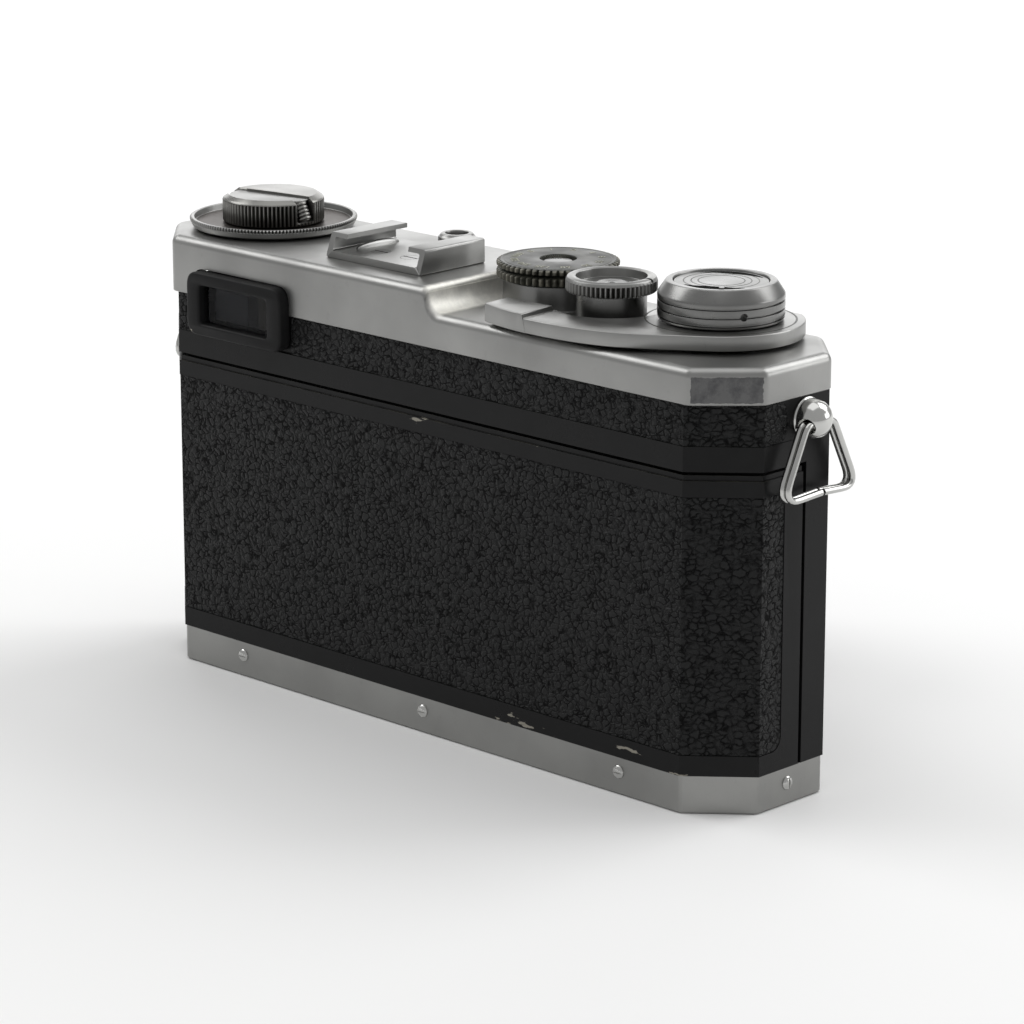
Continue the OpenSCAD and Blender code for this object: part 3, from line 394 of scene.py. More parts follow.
def lathe(bm, profile, centre=(0, 0), n=160, teeth=0, depth=0.0, band=(0, 0), power=1.0, place=None,
          closed=False, least=0.0):
    """Revolves (radius, height) points. Beyond the least radius, the height band has teeth cut in it."""
    grime_and_shade = bm.verts.layers.float.get("grime_and_shade") or bm.verts.layers.float.new("grime_and_shade")
    worn = bm.verts.layers.float.get("worn") or bm.verts.layers.float.new("worn")
    rings = []
    for r, z in profile:
        ring = []
        if r < 1e-5:
            ring.append(bm.verts.new((centre[0] * MM, centre[1] * MM, z * MM)))
        else:
            cut = teeth and band[0] <= z <= band[1] and r > least
            for i in range(n):
                a = TAU * i / n
                f = (0.5 + 0.5 * math.cos(a * teeth)) ** power if cut else 0.0
                q = r - depth * f
                x, y = centre[0] + q * math.cos(a), centre[1] + q * math.sin(a)
                v = bm.verts.new((x * MM, y * MM, z * MM))
                # grime and painted shade, strongest in each tooth's valley
                v[grime_and_shade] = f
                v[worn] = 1 - f if cut else 0.0
                ring.append(v)
        rings.append(ring)
    for a, b in zip(rings, rings[1:]):
        bridge(bm, a, b)
    if closed:
        bridge(bm, rings[-1], rings[0])
    if place is not None:
        bmesh.ops.transform(bm, matrix=place, verts=[v for ring in rings for v in ring])


def turned(name, profile, body, look, nodes=(), slot=None, round_by=0.12, centre=(0, 0), **cut):
    """A piece turned from a profile with rounded corners."""
    bm = bmesh.new()
    lathe(bm, rounded(profile, round_by), centre, **cut)
    return shape_object(name, bm, body, look, nodes)


def plate(name, loops, z0, z1, body, look, nodes=(), bevel=0.12, place=None):
    """A flat piece with holes, from closed loops in millimetres, with rounded edges."""
    curve = bpy.data.curves.new(name, "CURVE")
    curve.dimensions = "2D"
    curve.fill_mode = "BOTH"
    curve.extrude = max((z1 - z0) / 2 - bevel, 0.001)
    curve.bevel_depth = bevel
    curve.bevel_resolution = 2
    curve.offset = -bevel
    for loop in loops:
        add_line(curve, [(x, y, 0) for x, y in loop], True)
    bm = bmesh.new()
    bm.from_mesh(meshed(curve))
    bmesh.ops.remove_doubles(bm, verts=bm.verts, dist=1e-4)
    move = Matrix.Scale(MM, 4) @ (place or Matrix.Identity(4)) @ Matrix.Translation((0, 0, (z0 + z1) / 2))
    bmesh.ops.transform(bm, matrix=move, verts=bm.verts)
    return shape_object(name, bm, body, look, nodes)


def circle(centre, r, n=96, start=0.0, end=TAU):
    """Points round a circle, or along an arc with both its ends."""
    full = abs(end - start) >= TAU - 1e-6
    count = n if full else n + 1
    return [(centre[0] + r * math.cos(start + (end - start) * i / n),
             centre[1] + r * math.sin(start + (end - start) * i / n)) for i in range(count)]


def rounded_loop(points, radius, steps=5):
    """A closed loop with rounded corners."""
    n = len(points)
    out = []
    for i in range(n):
        a, b, c = points[i - 1], points[i], points[(i + 1) % n]
        out += rounded([a, b, c], radius, steps)[1:-1]
    return out


def rect(x0, x1, y0, y1):
    return [(x0, y0), (x1, y0), (x1, y1), (x0, y1)]


def cut_with(obj, *tools):
    """Subtracts the tools, which are then deleted, from the piece."""
    for tool in tools:
        mod = obj.modifiers.new("cut", "BOOLEAN")
        mod.operation = "DIFFERENCE"
        mod.solver = "EXACT"
        mod.object = tool
    mesh = evaluated(obj)
    obj.modifiers.clear()
    obj.data = mesh
    for face in mesh.polygons:
        face.use_smooth = True
    mesh.set_sharp_from_angle(angle=math.radians(SHARP))
    for tool in tools:
        bpy.data.objects.remove(tool)


def cutter(bm):
    """A tool for cut_with."""
    mesh = bpy.data.meshes.new("cutter")
    bmesh.ops.recalc_face_normals(bm, faces=bm.faces)
    bm.to_mesh(mesh)
    bm.free()
    obj = bpy.data.objects.new("cutter", mesh)
    scene.collection.objects.link(obj)
    return obj


def post_cutter(centre, r, z0, z1, place=None):
    """A round tool."""
    bm = bmesh.new()
    lathe(bm, [(0, z0), (r, z0), (r, z1), (0, z1)], centre, n=64, place=place)
    return cutter(bm)


def prism_cutter(loop, z0, z1, place=None):
    """A tool with a loop for its section."""
    bm = bmesh.new()
    low = [bm.verts.new((x * MM, y * MM, z0 * MM)) for x, y in loop]
    high = [bm.verts.new((x * MM, y * MM, z1 * MM)) for x, y in loop]
    bm.faces.new(low)
    bm.faces.new(high)
    bridge(bm, low, high)
    if place is not None:
        bmesh.ops.transform(bm, matrix=place, verts=bm.verts)
    return cutter(bm)


# a loop's x, y become the frame's x, z, and the extrusion runs towards -Y
TO_XZ = spot(0, 0, 0, 90, "X")

# ---- casting, back, base and leather ----

def inset(x, y):
    """How far a point lies inside the body's outline."""
    gap_x, gap_y = BODY_W / 2 - abs(x), BODY_D / 2 - abs(y)
    corner = gap_x * CHAMFER_Y + gap_y * CHAMFER_X - CHAMFER_X * CHAMFER_Y
    return min(gap_x, gap_y, corner / math.hypot(CHAMFER_X, CHAMFER_Y))


def refined(name, node, look, body, rims, rim_width, corner_width, limit=0.7, moved=()):
    """A copy of a node with its outer edges rounded: the upright ones, and the level ones at rim heights."""
    bm = bmesh.new()
    bm.from_mesh(frame["nodes"][node].data)
    bmesh.ops.remove_doubles(bm, verts=bm.verts, dist=2e-6)
    bmesh.ops.dissolve_limit(bm, angle_limit=math.radians(0.6), verts=bm.verts, edges=bm.edges)
    near = 0.04
    for v in bm.verts:
        for old_z, new_z in moved:
            if abs(v.co.z / MM - old_z) < near:
                v.co.z = new_z * MM

    def outer(v):
        return inset(v.co.x / MM, v.co.y / MM) < limit

    def upright(e):
        a, b = e.verts[0].co, e.verts[1].co
        return math.dist(a.xy, b.xy) < 2e-5 and abs(a.z - b.z) > 1e-3

    def at_rim(e):
        return any(all(abs(v.co.z / MM - z) < near for v in e.verts) for z in rims)

    def sharp(e):
        return len(e.link_faces) == 2 and e.calc_face_angle(0) > math.radians(20)

    def bevel(wanted, width, segments):
        found = [e for e in bm.edges if sharp(e) and wanted(e) and all(outer(v) for v in e.verts)]
        return bmesh.ops.bevel(bm, geom=found, offset=width * MM, segments=segments, profile=0.5,
                               affect="EDGES", clamp_overlap=True)["faces"]

    bevel(upright, corner_width, 4)
    # the rim bevel faces are marked for the paint's rubbed edges and painted highlight lines
    edge = bm.faces.layers.float.new("edge")
    for face in bevel(at_rim, rim_width, 3):
        face[edge] = 1.0
    keep_normals(shape_object(name, bm, body, look, (node,), 28))


refined("casting", "body_casting", "black_paint", "camera_body", (55.6, 59.6), 0.3, 0.7)
refined("back_shell", "back_cover", "black_paint", "back", (54.15, 55.0), 0.3, 0.7,
        moved=((54.5, 54.15),))
refined("base_tray", "base_plate", "base", "back", (0.0, 0.3, 6.22), 0.18, 0.5)
for name, node, body in (("back_leather", "back_leatherette", "back"),
                         ("front_leather", "front_leatherette", "camera_body"),
                         ("band_leather", "leather_band", "camera_body")):
    rims = [corner[2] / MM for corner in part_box(node)]
    refined(name, node, "leatherette", body, rims, 0.2, 1.6, 0.9)

# ---- top cover ----

def step_columns():
    """(x, deck height) across the cover: low deck, concave foot, wall, rounded edge, high deck."""
    foot, wall_x, edge = 3.1, -2.2, 0.9
    cols = [(x, DECK_LOW) for x in (-56, -50, -40, -30, -20, -12, -7)]
    for i in range(9):
        a = math.radians(-90 + 90 * i / 8)
        cols.append((wall_x - foot + foot * math.cos(a), DECK_LOW + foot + foot * math.sin(a)))
    for i in range(9):
        a = math.radians(180 - 90 * i / 8)
        cols.append((wall_x + 0.1 + edge + edge * math.cos(a), DECK_HIGH - edge + edge * math.sin(a)))
    return cols + [(x, DECK_HIGH) for x in (2, 8, 16, 24, 32, 40, 50, 56)]


def cover_ring(inward, lower, top):
    """One loop round the cover, moved in from its outline, and at the bottom or lower than the deck."""
    slant = math.hypot(CHAMFER_X, CHAMFER_Y)
    k = 1 + inward * (slant - CHAMFER_X - CHAMFER_Y) / (CHAMFER_X * CHAMFER_Y)
    x1, y1 = BODY_W / 2 - inward, BODY_D / 2 - inward
    cx, cy = CHAMFER_X * k, CHAMFER_Y * k
    corner = max(0.9 - inward * 0.5, 0.15)
    left = rounded([(-x1, 0), (-x1, y1 - cy), (-x1 + cx, y1), (0, y1)], corner, 5)[1:-1]
    half = [(x, y, DECK_LOW) for x, y in left]
    half += [(x, y1, z) for x, z in step_columns()]
    half += [(-x, y, DECK_HIGH) for x, y in reversed(left)]
    ring = half + [(x, -y, z) for x, y, z in reversed(half)]
    return [(x, y, z - lower if top else COVER_BOTTOM) for x, y, z in ring]


def build_cover():
    """A thin shell with a rolled edge, its step, and the openings for everything that passes through."""
    bm = bmesh.new()
    edge, hem = 1.5, 0.12
    rings = [cover_ring(hem, 0, False), cover_ring(0, 0, False)]
    rings[1] = [(x, y, z + hem) for x, y, z in rings[1]]
    rings.append(cover_ring(0, edge, True))
    for i in range(1, 9):
        a = math.radians(90 * i / 8)
        rings.append(cover_ring(edge * (1 - math.cos(a)), edge * (1 - math.sin(a)), True))
    loops = [[bm.verts.new(Vector(p) * MM) for p in ring] for ring in rings]
    for a, b in zip(loops, loops[1:]):
        bridge(bm, a, b)
    top = loops[-1]
    half = len(top) // 2
    bridge(bm, top[:half], top[:half - 1:-1], False)
    cover = shape_object("cover_shell", bm, "camera_body", "cover", ("top_cover",), 40)
    shell = cover.modifiers.new("shell", "SOLIDIFY")
    shell.thickness = 1.1 * MM
    shell.offset = -1
    holes = [post_cutter(c, r, 65, 80) for c, r in
             ((ADVANCE, 5.0), (RELEASE, 2.1), (DIAL, 2.6), (REWIND, 2.5))]
    eyepiece_notch = rounded_loop(rect(30.2, 54.2, 60, 71.1), 2.7, 6)
    holes.append(prism_cutter(eyepiece_notch, -18, -10, TO_XZ))
    for window in (rect(30, 49, 67.2, 74.4), rect(-1, 6, 67.6, 73.4)):
        holes.append(prism_cutter(rounded_loop(window, 1.1, 4), 10, 18, TO_XZ))
    cut_with(cover, *holes)


build_cover()

# ---- counter ----

def arc_window(r_out, r_in, a0, a1):
    """A crescent window round the advance axis, which narrows towards both ends."""
    steps, pinch = 28, 0.9
    inner = []
    for i in range(steps + 1):
        t = i / steps
        a = math.radians(a1 + (a0 - a1) * t)
        q = r_in + (r_out - r_in) * (pinch * (1 - math.sin(math.pi * t)))
        inner.append((ADVANCE[0] + q * math.cos(a), ADVANCE[1] + q * math.sin(a)))
    return circle(ADVANCE, r_out, steps, math.radians(a0), math.radians(a1)) + inner


def build_counter():
    """The grooved housing on the advance axis, its lid with two windows, and the scale beneath."""
    r, cut = 10.1, 0.42
    groove = []
    for z in (75.65, 76.95, 78.3):
        groove += [(r, z - 0.16, 0.03), (r - cut, z - 0.1, 0.02), (r - cut, z + 0.1, 0.02),
                   (r, z + 0.16, 0.03)]
    profile = [(0, 75.1), (r - 0.25, 75.1, 0.1)] + groove + [
        (r, 79.15, 0.25), (8.75, 81.2, 0.18), (7.75, 81.2, 0.08), (7.62, 80.98, 0.05), (7.62, 79.5),
        (0, 79.5)]
    housing = turned("counter_ring", profile, "camera_body", "turned", ("counter_housing",), "satin_chrome",
                     centre=ADVANCE, n=192)
    pin_hole = spot(*ADVANCE, 77.1, 152) @ spot(0, 0, 0, 90, "Y")
    cut_with(housing, post_cutter((0, 0), 0.62, 8.6, 11, pin_hole))
    lid = turned("counter_lid", [(0, 80.35), (7.5, 80.35), (7.5, 80.95, 0.08), (0, 80.95)], "camera_body",
                 "turned", ("counter_cover",), "satin_chrome", centre=ADVANCE, n=128)
    cut_with(lid, prism_cutter(arc_window(6.75, 4.6, 70, 165), 80, 82),
             prism_cutter(arc_window(6.95, 5.2, -120, -15), 80, 82))
    bm = bmesh.new()
    # thin black rings drawn where the lid has grooves: painted shade of the grooves
    for q in (5.9, 4.7, 3.6):
        lathe(bm, [(q, 80.955), (q + 0.09, 80.985), (q + 0.18, 80.955)], ADVANCE, n=128)
    shape_object("counter_rings", bm, "camera_body", "black_anodised")
    turned("counter_scale", [(0, 79.6), (7.3, 79.6), (7.3, 80.1), (0, 80.1)], "counter_disc", "finder_dark",
           ("counter_disc",), "black_anodised", 0.05, ADVANCE, n=128)


build_counter()

# ---- dials ----

def numerals(name, marks, places, size, thick, body, look):
    """Raised numerals, each at its own place."""
    bm = bmesh.new()
    for mark, place in zip(marks, places):
        text = bpy.data.curves.new("mark", "FONT")
        text.body = mark
        text.size = size
        text.extrude = thick
        text.align_x = "CENTER"
        text.align_y = "CENTER"
        mesh = meshed(text)
        mesh.transform(place)
        bm.from_mesh(mesh)
    shape_object(name, bm, body, look, ())


def dial_places(count, radius, z, start):
    """Evenly round the dial, to be read from outside."""
    for i in range(count):
        a = start + TAU * i / count
        place = Matrix.Translation((DIAL[0] + radius * math.cos(a), DIAL[1] + radius * math.sin(a), z))
        yield Matrix.Scale(MM, 4) @ place @ Matrix.Rotation(a - math.pi / 2, 4, "Z")


def build_dials():
    """The scalloped dials for slow and fast speeds, on their foot."""
    turned("dial_foot", [(0, 71.95), (9.35, 71.95), (9.35, 72.15, 0.05), (9.1, 72.3), (9.0, 76.2), (0, 76.2)],
           "camera_body", "turned", ("dial_base",), "satin_chrome", centre=DIAL)
    scallop = {"teeth": 54, "depth": 0.75, "power": 1.6, "n": 54 * 8, "centre": DIAL}
    turned("slow_dial", [(2.7, 76.3), (9.3, 76.3, 0.1), (10.1, 76.62, 0.15), (10.1, 77.62, 0.15),
                         (9.3, 77.92, 0.1), (9.05, 78.1), (2.7, 78.1)],
           "slow_speed_dial", "black_anodised", ("slow_speed_dial",), band=(76.45, 77.8), closed=True,
           **scallop)
    turned("fast_dial", [(0, 69.2), (2.5, 69.2), (2.5, 78.2), (9.2, 78.2, 0.1), (10.1, 78.38, 0.12),
                         (10.1, 79.0, 0.15), (9.35, 79.22, 0.1), (8.9, 79.14, 0.05), (8.75, 79.2),
                         (3.1, 79.3), (2.75, 78.55, 0.05), (0, 78.55)],
           "fast_speed_dial", "black_anodised", ("fast_speed_dial",), band=(78.3, 79.1), **scallop)
    turned("dial_slot_screw", [(0, 78.56), (2.35, 78.56), (2.3, 78.9, 0.15), (0, 79.0)],
           "fast_speed_dial", "turned", ("dial_screw",), "bright_chrome", centre=DIAL)
    speeds = ["1000", "500", "250", "125", "60", "30", "15", "8", "4", "2", "1", "B"]
    numerals("dial_numerals", speeds, dial_places(len(speeds), 7.1, 79.25, 0.4), 1.75, 0.015,
             "fast_speed_dial", "numeral")


build_dials()

# ---- release ----

def build_release():
    """The guard tower, the milled collar that turns on it, and the button."""
    turned("release_tower", [(2.15, 71.95), (5.7, 71.95), (5.7, 77.3), (2.95, 77.3), (2.95, 73.6),
                             (2.15, 73.6)],
           "camera_body", "turned", ("release_guard",), "satin_chrome", centre=RELEASE, closed=True)
    collar = turned("release_ring", [(3.2, 77.4), (7.1, 77.4), (7.4, 77.65), (7.4, 79.15), (7.1, 79.75, 0.12),
                                     (6.45, 79.95, 0.15), (5.75, 79.8, 0.1), (5.7, 78.35, 0.05), (3.2, 78.3)],
                    "release_collar", "satin_chrome", ("release_collar",), None, 0.1, RELEASE, n=56 * 8,
                    teeth=56, depth=0.42, band=(77.55, 79.2), power=1.2, closed=True, least=6.8)
    notch = spot(*RELEASE, 0, 196) @ spot(6.7, 0, 0)
    cut_with(collar, prism_cutter(rect(-1.3, 1.3, -0.35, 0.35), 79.3, 80.4, notch))
    turned("release_cap", [(0, 67.5), (1.95, 67.5), (1.95, 75.7), (2.8, 75.7), (2.8, 78.55, 0.3),
                           (2.2, 78.8, 0.3), (1.2, 78.62), (0.55, 78.6), (0.5, 77.9), (0, 77.9)],
           "release_button", "turned", ("release_button",), "satin_chrome", centre=RELEASE, n=96)


build_release()

# ---- rewind ----

def build_rewind():
    """The reminder cup, and the knob with its folding crank and ribbed grip."""
    turn, arm_r = 10.4, 7.6
    turned("rewind_cup", [(2.5, 76.15), (13.3, 76.15), (13.95, 76.4, 0.3), (14.35, 77.2, 0.3),
                          (14.5, 77.55, 0.08), (14.5, 77.85, 0.08), (14.15, 78.05, 0.1),
                          (13.75, 78.0, 0.08), (13.6, 77.0, 0.1), (2.5, 76.85)],
           "rewind_dial", "satin_chrome", ("rewind_dial",), None, 0.1, REWIND, closed=True,
           n=150 * 6, teeth=150, depth=0.3, band=(77.4, 77.95), least=14)
    turned("rewind_reminder", [(2.6, 76.9), (13.45, 76.98), (13.45, 77.06), (2.6, 76.99)],
           "rewind_dial", "reminder", (), "black_anodised", 0.02, REWIND, n=160, closed=True)
    place = spot(*REWIND, 0, turn)
    knob = turned("knob_body", [(0, 76.3), (2.3, 76.3), (2.35, 77.2), (8.5, 77.2), (8.8, 77.4),
                                (8.8, 80.95, 0.2), (8.55, 81.3, 0.15), (7.6, 81.95, 0.15), (0, 82.0)],
                  "rewind_knob", "knob_metal", ("rewind_knob",), "satin_chrome", 0.1, n=76 * 8, teeth=76,
                  depth=0.42, band=(77.35, 81.0), power=1.5, place=place)
    pocket_r, gap = 7.9, 0.2
    start = math.asin(gap / pocket_r)
    pocket = circle((0, -gap), pocket_r, 64, start, math.pi - start)
    tilt = spot(-6.9, 2, 81.05, 22, "Y")
    across = place @ Matrix(((0, 0, 1, 0), (1, 0, 0, 0), (0, 1, 0, 0), (0, 0, 0, 1)))
    # the crank's pocket, the bright dividing line, the notch at its end, and the grip's bore and thumb notch
    cut_with(knob, prism_cutter(pocket, 80.9, 84, place),
             prism_cutter([(-0.18, 81.7), (-0.18, 82.3), (-0.8, 82.3)], -7.6, 7.6, across),
             prism_cutter(rect(5.7, 12, -0.2, 4.6), 80.35, 84, place),
             post_cutter((0, 0), 1.75, -3.6, 3, place @ tilt),
             prism_cutter(rect(-12, -6.9, 0.25, 3.75), 78, 84, place))
    arm = [(min(x, arm_r - 0.4), y) for x, y in circle((0, 0), arm_r, 64, 0, math.pi)]
    plate("crank_arm", [arm], 81.05, 81.6, "rewind_crank", "satin_chrome", ("rewind_crank",),
          0.12, Matrix.Translation((*REWIND, 0)) @ Matrix.Rotation(math.radians(turn), 4, "Z"))
    profile = [(0, -0.02)]
    for i in range(5):
        z = -0.1 - 0.64 * i
        profile += [(1.28, z), (1.34, z - 0.22), (1.28, z - 0.42), (1.02, z - 0.5), (1.02, z - 0.58)]
    profile += [(0.8, -3.3), (0, -3.3)]
    bm = bmesh.new()
    lathe(bm, rounded(profile, 0.06, 2), (0, 0), n=48, place=place @ tilt)
    shape_object("grip_barrel", bm, "crank_grip", "knob_metal", ("crank_grip",))


build_rewind()

# ---- accessory shoe ----

def build_shoe():
    """Bent from sheet: a plate, two upright rails and the lips that hold the foot."""
    x0, x1, z0, thick, top, lip, wall = 4.6, 27.0, 76.0, 1.25, 80.2, 3.95, 1.2
    outer = rounded([(x0 + lip, top), (x0, top, 0.5), (x0, z0, 0.35), (x1, z0, 0.35), (x1, top, 0.5),
                     (x1 - lip, top)], 0.5, 5)
    under = top - 0.8
    inner = rounded([(x1 - lip, under), (x1 - wall, under, 0.4), (x1 - wall, z0 + thick, 0.25),
                     (x0 + wall, z0 + thick, 0.25), (x0 + wall, under, 0.4), (x0 + lip, under)], 0.3, 5)
    section = outer + inner
    ease = 0.12

    def rear(z):
        up = max(z - z0 - thick, 0)
        return 10.3 - (0.3 + 1.0 * (up / 3.0) ** 0.7 if up > 0.02 else 0)

    def station(place, shrink):
        """One section of the bent sheet; place gives its y at a height."""
        s = shrink * 0.5
        loop = []
        for x, z in section:
            xx = x + (s if x < x0 + 0.6 else -s if x > x1 - 0.6 else 0)
            zz = z + (s if z < z0 + 0.2 else -s if z > top - 0.2 else 0)
            loop.append(bm.verts.new((xx * MM, place(z) * MM, zz * MM)))
        return loop
    bm = bmesh.new()
    loops = [station(lambda z: -4.8, ease), station(lambda z: -4.68, 0), station(lambda z: 0, 0),
             station(lambda z: 5, 0), station(lambda z: rear(z) - ease, 0), station(rear, ease)]
    for a, b in zip(loops, loops[1:]):
        bridge(bm, a, b)
    for loop in (loops[0], loops[-1]):
        bridge(bm, loop[:len(outer)], loop[:len(outer) - 1:-1], False)
    shoe = shape_object("shoe_channel", bm, "camera_body", "satin_chrome", ("accessory_shoe",))
    cut_with(shoe, *[post_cutter(p, 1.72, 76.8, 78) for p in ((12.3, 5), (19.3, 5), (15.8, -2.5))])


def build_shoe_ribs():
    """The bowed leaf spring, which shows as a rib under each lip."""
    bm = bmesh.new()
    steps, across = 24, 10
    for x in (8.2, 23.4):
        rows = []
        for i in range(steps + 1):
            t = i / steps
            swell = max(math.sin(math.pi * t), 0) ** 0.4
            row = []
            for j in range(across + 1):
                a = math.pi * j / across
                row.append(bm.verts.new(((x + 0.85 * swell * math.cos(a)) * MM, (-3.2 + 10.0 * t) * MM,
                                         (77.2 + 1.05 * swell * math.sin(a)) * MM)))
            rows.append(row)
        for a, b in zip(rows, rows[1:]):
            bridge(bm, a, b, False)
    bmesh.ops.remove_doubles(bm, verts=bm.verts, dist=1e-6)
    shape_object("shoe_ribs", bm, "camera_body", "satin_chrome", ("shoe_spring",))


def build_collar_screw():
    """The round socket in front of the shoe."""
    turned("collar_screw_body", [(1.95, 76.0), (2.5, 76.0), (2.5, 76.7), (3.2, 76.75, 0.1), (3.2, 77.75, 0.3),
                                 (2.9, 78.0, 0.3), (2.7, 78.35, 0.3), (2.0, 78.38, 0.15), (1.95, 77.9)],
           "camera_body", "satin_chrome", ("collar_screw",), None, 0.12, (17.6, -11.2), n=96, closed=True)


build_shoe()
build_shoe_ribs()
build_collar_screw()

# ---- advance lever ----

def build_lever():
    """The long arm, whose outline is a big arc that eases into the hub, and its raised thumb pad."""
    cx, cy, big = -28.0, -27.5, 45.0
    hub, tip = 13.35, -15.3
    eased = math.radians(131)

    def back_y(x):
        return cy + math.sqrt(big ** 2 - (x - cx) ** 2)

    def reach(angle):
        """From the lever's axis to its outline."""
        ux, uy = math.cos(angle), math.sin(angle)
        dx, dy = ADVANCE[0] - cx, ADVANCE[1] - cy
        along = dx * ux + dy * uy
        far = -along + math.sqrt(along ** 2 - dx ** 2 - dy ** 2 + big ** 2)
        t = min(max((eased - angle) / math.radians(60), 0), 1)
        return hub + (far - hub) * t * t * (3 - 2 * t)
    back = [(x, back_y(x)) for x in [tip - 0.4 - i * 0.75 for i in range(36)]]
    start = math.atan2(back[-1][1] - ADVANCE[1], back[-1][0] - ADVANCE[0])
    arc = []
    for i in range(1, 91):
        a = start + (math.radians(345) - start) * i / 90
        q = reach(a) if a < eased else hub
        arc.append((ADVANCE[0] + q * math.cos(a), max(ADVANCE[1] + q * math.sin(a), -15.6)))
    relief_r = 9.4
    relief = circle(RELEASE, relief_r, 32, math.radians(226), math.radians(66))
    arc = [p for p in arc if math.dist(p, RELEASE) > relief_r + 0.05]
    outline = back + arc + relief + [(tip + 0.1, 10.3), (tip, 11)]
    loops = [outline, circle(ADVANCE, 3.1, 48)]
    plate("lever_arm", loops, 72.5, 74.9, "advance_lever", "satin_chrome", ("advance_lever",), 0.22)
    proud, inner_end, pad_top = 0.015, -26.2, 75.55
    pad = [(min(x + proud, tip - 0.35), y + proud) for x, y in back if x > inner_end]
    pad += [(inner_end, back_y(inner_end) + proud), (inner_end + 0.7, 9.65),
            (tip + 0.1 + proud, 10.3 - proud), (tip + proud, 11)]
    top = plate("lever_pad", [pad], 72.47, pad_top, "advance_lever", "satin_chrome", (), 0.22)
    # the pad's inner end leans like a ramp
    for v in top.data.vertices:
        if v.co.z > (pad_top - 0.35) * MM and v.co.x < (inner_end + 1) * MM:
            v.co.x += 0.7 * MM
    # a thin black ring drawn where the lever has an engraved circle: painted shade of the groove
    bm = bmesh.new()
    lathe(bm, [(11.75, 74.905), (11.85, 74.93), (12.0, 74.93), (12.1, 74.905)], ADVANCE, n=160)
    shape_object("lever_ring_line", bm, "advance_lever", "black_anodised")


build_lever()

# ---- strap lugs and rings ----

def build_ring(side, body, node):
    """Two turns of round wire bent to a triangle, with their ends near each other at the foot."""
    path = rounded([(-1.0, -10.9), (-9.1, -11.4, 4.6), (-3.1, 0.45, 1.4), (3.1, 0.45, 1.4),
                    (8.6, -11.4, 4.6), (-0.5, -10.9)], 1, 8)
    curve = bpy.data.curves.new("wire", "CURVE")
    curve.dimensions = "3D"
    curve.bevel_depth = 0.55
    curve.bevel_resolution = 5
    curve.use_fill_caps = True
    for offset in (-0.5656, 0.5656):
        add_line(curve, [(offset, y, z) for y, z in path])
    bm = bmesh.new()
    bm.from_mesh(meshed(curve))
    place = spot(side * EYE[0], EYE[1], EYE[2]) @ Matrix.Scale(MM, 4)
    bmesh.ops.transform(bm, matrix=place, verts=bm.verts)
    shape_object(node + "_wire", bm, body, "bright_chrome", (node,))


def build_lugs():
    """A domed stud at each end of the body, bored for its ring."""
    for side in (-1, 1):
        out = spot(side * 67.7, EYE[1], EYE[2] + 0.7, side * 90, "Y")
        bm = bmesh.new()
        angles = [math.radians(a) for a in range(0, 91, 5)]
        dome = [(3.15 * math.cos(a), 1.55 + 3.1 * math.sin(a)) for a in angles]
        foot = rounded([(0, 0.02), (3.35, 0.02), (3.35, 0.55), (3.15, 0.75)], 0.1)
        lathe(bm, foot + dome[1:-1] + [(0, 4.65)], n=96, place=out)
        lug = shape_object(f"lug_{'left' if side > 0 else 'right'}", bm, "camera_body", "bright_chrome",
                           ("strap_lugs",) if side > 0 else ())
        through = spot(side * EYE[0], 0, EYE[2], 90, "X")
        cut_with(lug, post_cutter((0, 0), 1.35, -6, 10, through))
        keep_normals(lug)


build_lugs()
build_ring(-1, "strap_ring_right", "strap_ring_right")
build_ring(1, "strap_ring_left", "strap_ring_left")

# ---- eyepiece ----

def build_eyepiece():
    """The frame, and flat plates behind its eyeglass, painted in tones that stand in for the light and shade
    seen through the finder's optics.
    """
    outer = rounded_loop(rect(30.4, 54, 59.9, 70.9), 2.6, 8)
    hole = rounded_loop(rect(33.9, 50.9, 62, 68.7), 0.7, 4)
    upright = Matrix.Translation((0, 15.5, 0)) @ Matrix.Scale(-1, 4, (0, 1, 0)) @ Matrix.Rotation(
        math.radians(90), 4, "X")
    plate("eyepiece_rim", [outer, hole], 0, 2.5, "camera_body", "window_black", ("eyepiece_frame",),
          0.45, upright)
    # painted reflection: flat warm, dark and grey tones for the view through the finder optics
    for name, x0, x1, depth in (("finder_warm", 34.3, 39.4, -0.9), ("finder_dark", 39.4, 42.3, -1.4),
                                ("finder_grey", 42.3, 50.5, -1.1)):
        loop = rounded_loop(rect(x0, x1, 62.3, 68.4), 0.2, 2)
        plate(name + "_plate", [loop], depth - 0.4, depth, "camera_body", name, (), 0.05,
              upright)


build_eyepiece()

# ---- lens ----

# in the lens's own frame +Z runs forward along its axis
FORWARD = spot(0, 0, LENS_Z, 90, "X")


def ring_places(count, radius, forward, start, end):
    """Round a ring of the lens between two angles, to be read from behind the camera."""
    for i in range(count):
        a = math.radians(start + (end - start) * i / (count - 1))
        out = Vector((math.cos(a), math.sin(a), 0))
        along = Vector((0, 0, 1))
        turn = Matrix((along.cross(out), along, out)).transposed().to_4x4()
        place = Matrix.Translation(out * radius + along * forward)
        yield FORWARD @ Matrix.Scale(MM, 4) @ place @ turn


def ring_numerals(name, marks, size, body, *ring):
    """Black numerals round a ring of the lens."""
    numerals(name, marks, ring_places(len(marks), *ring), size, 0.02, body, "engraving")


def lens_part(name, profile, body, look, nodes=(), slot=None, **cut):
    """A tube or a ring of the lens."""
    turned(name, profile, body, look, nodes, slot, place=FORWARD, closed=True, **cut)


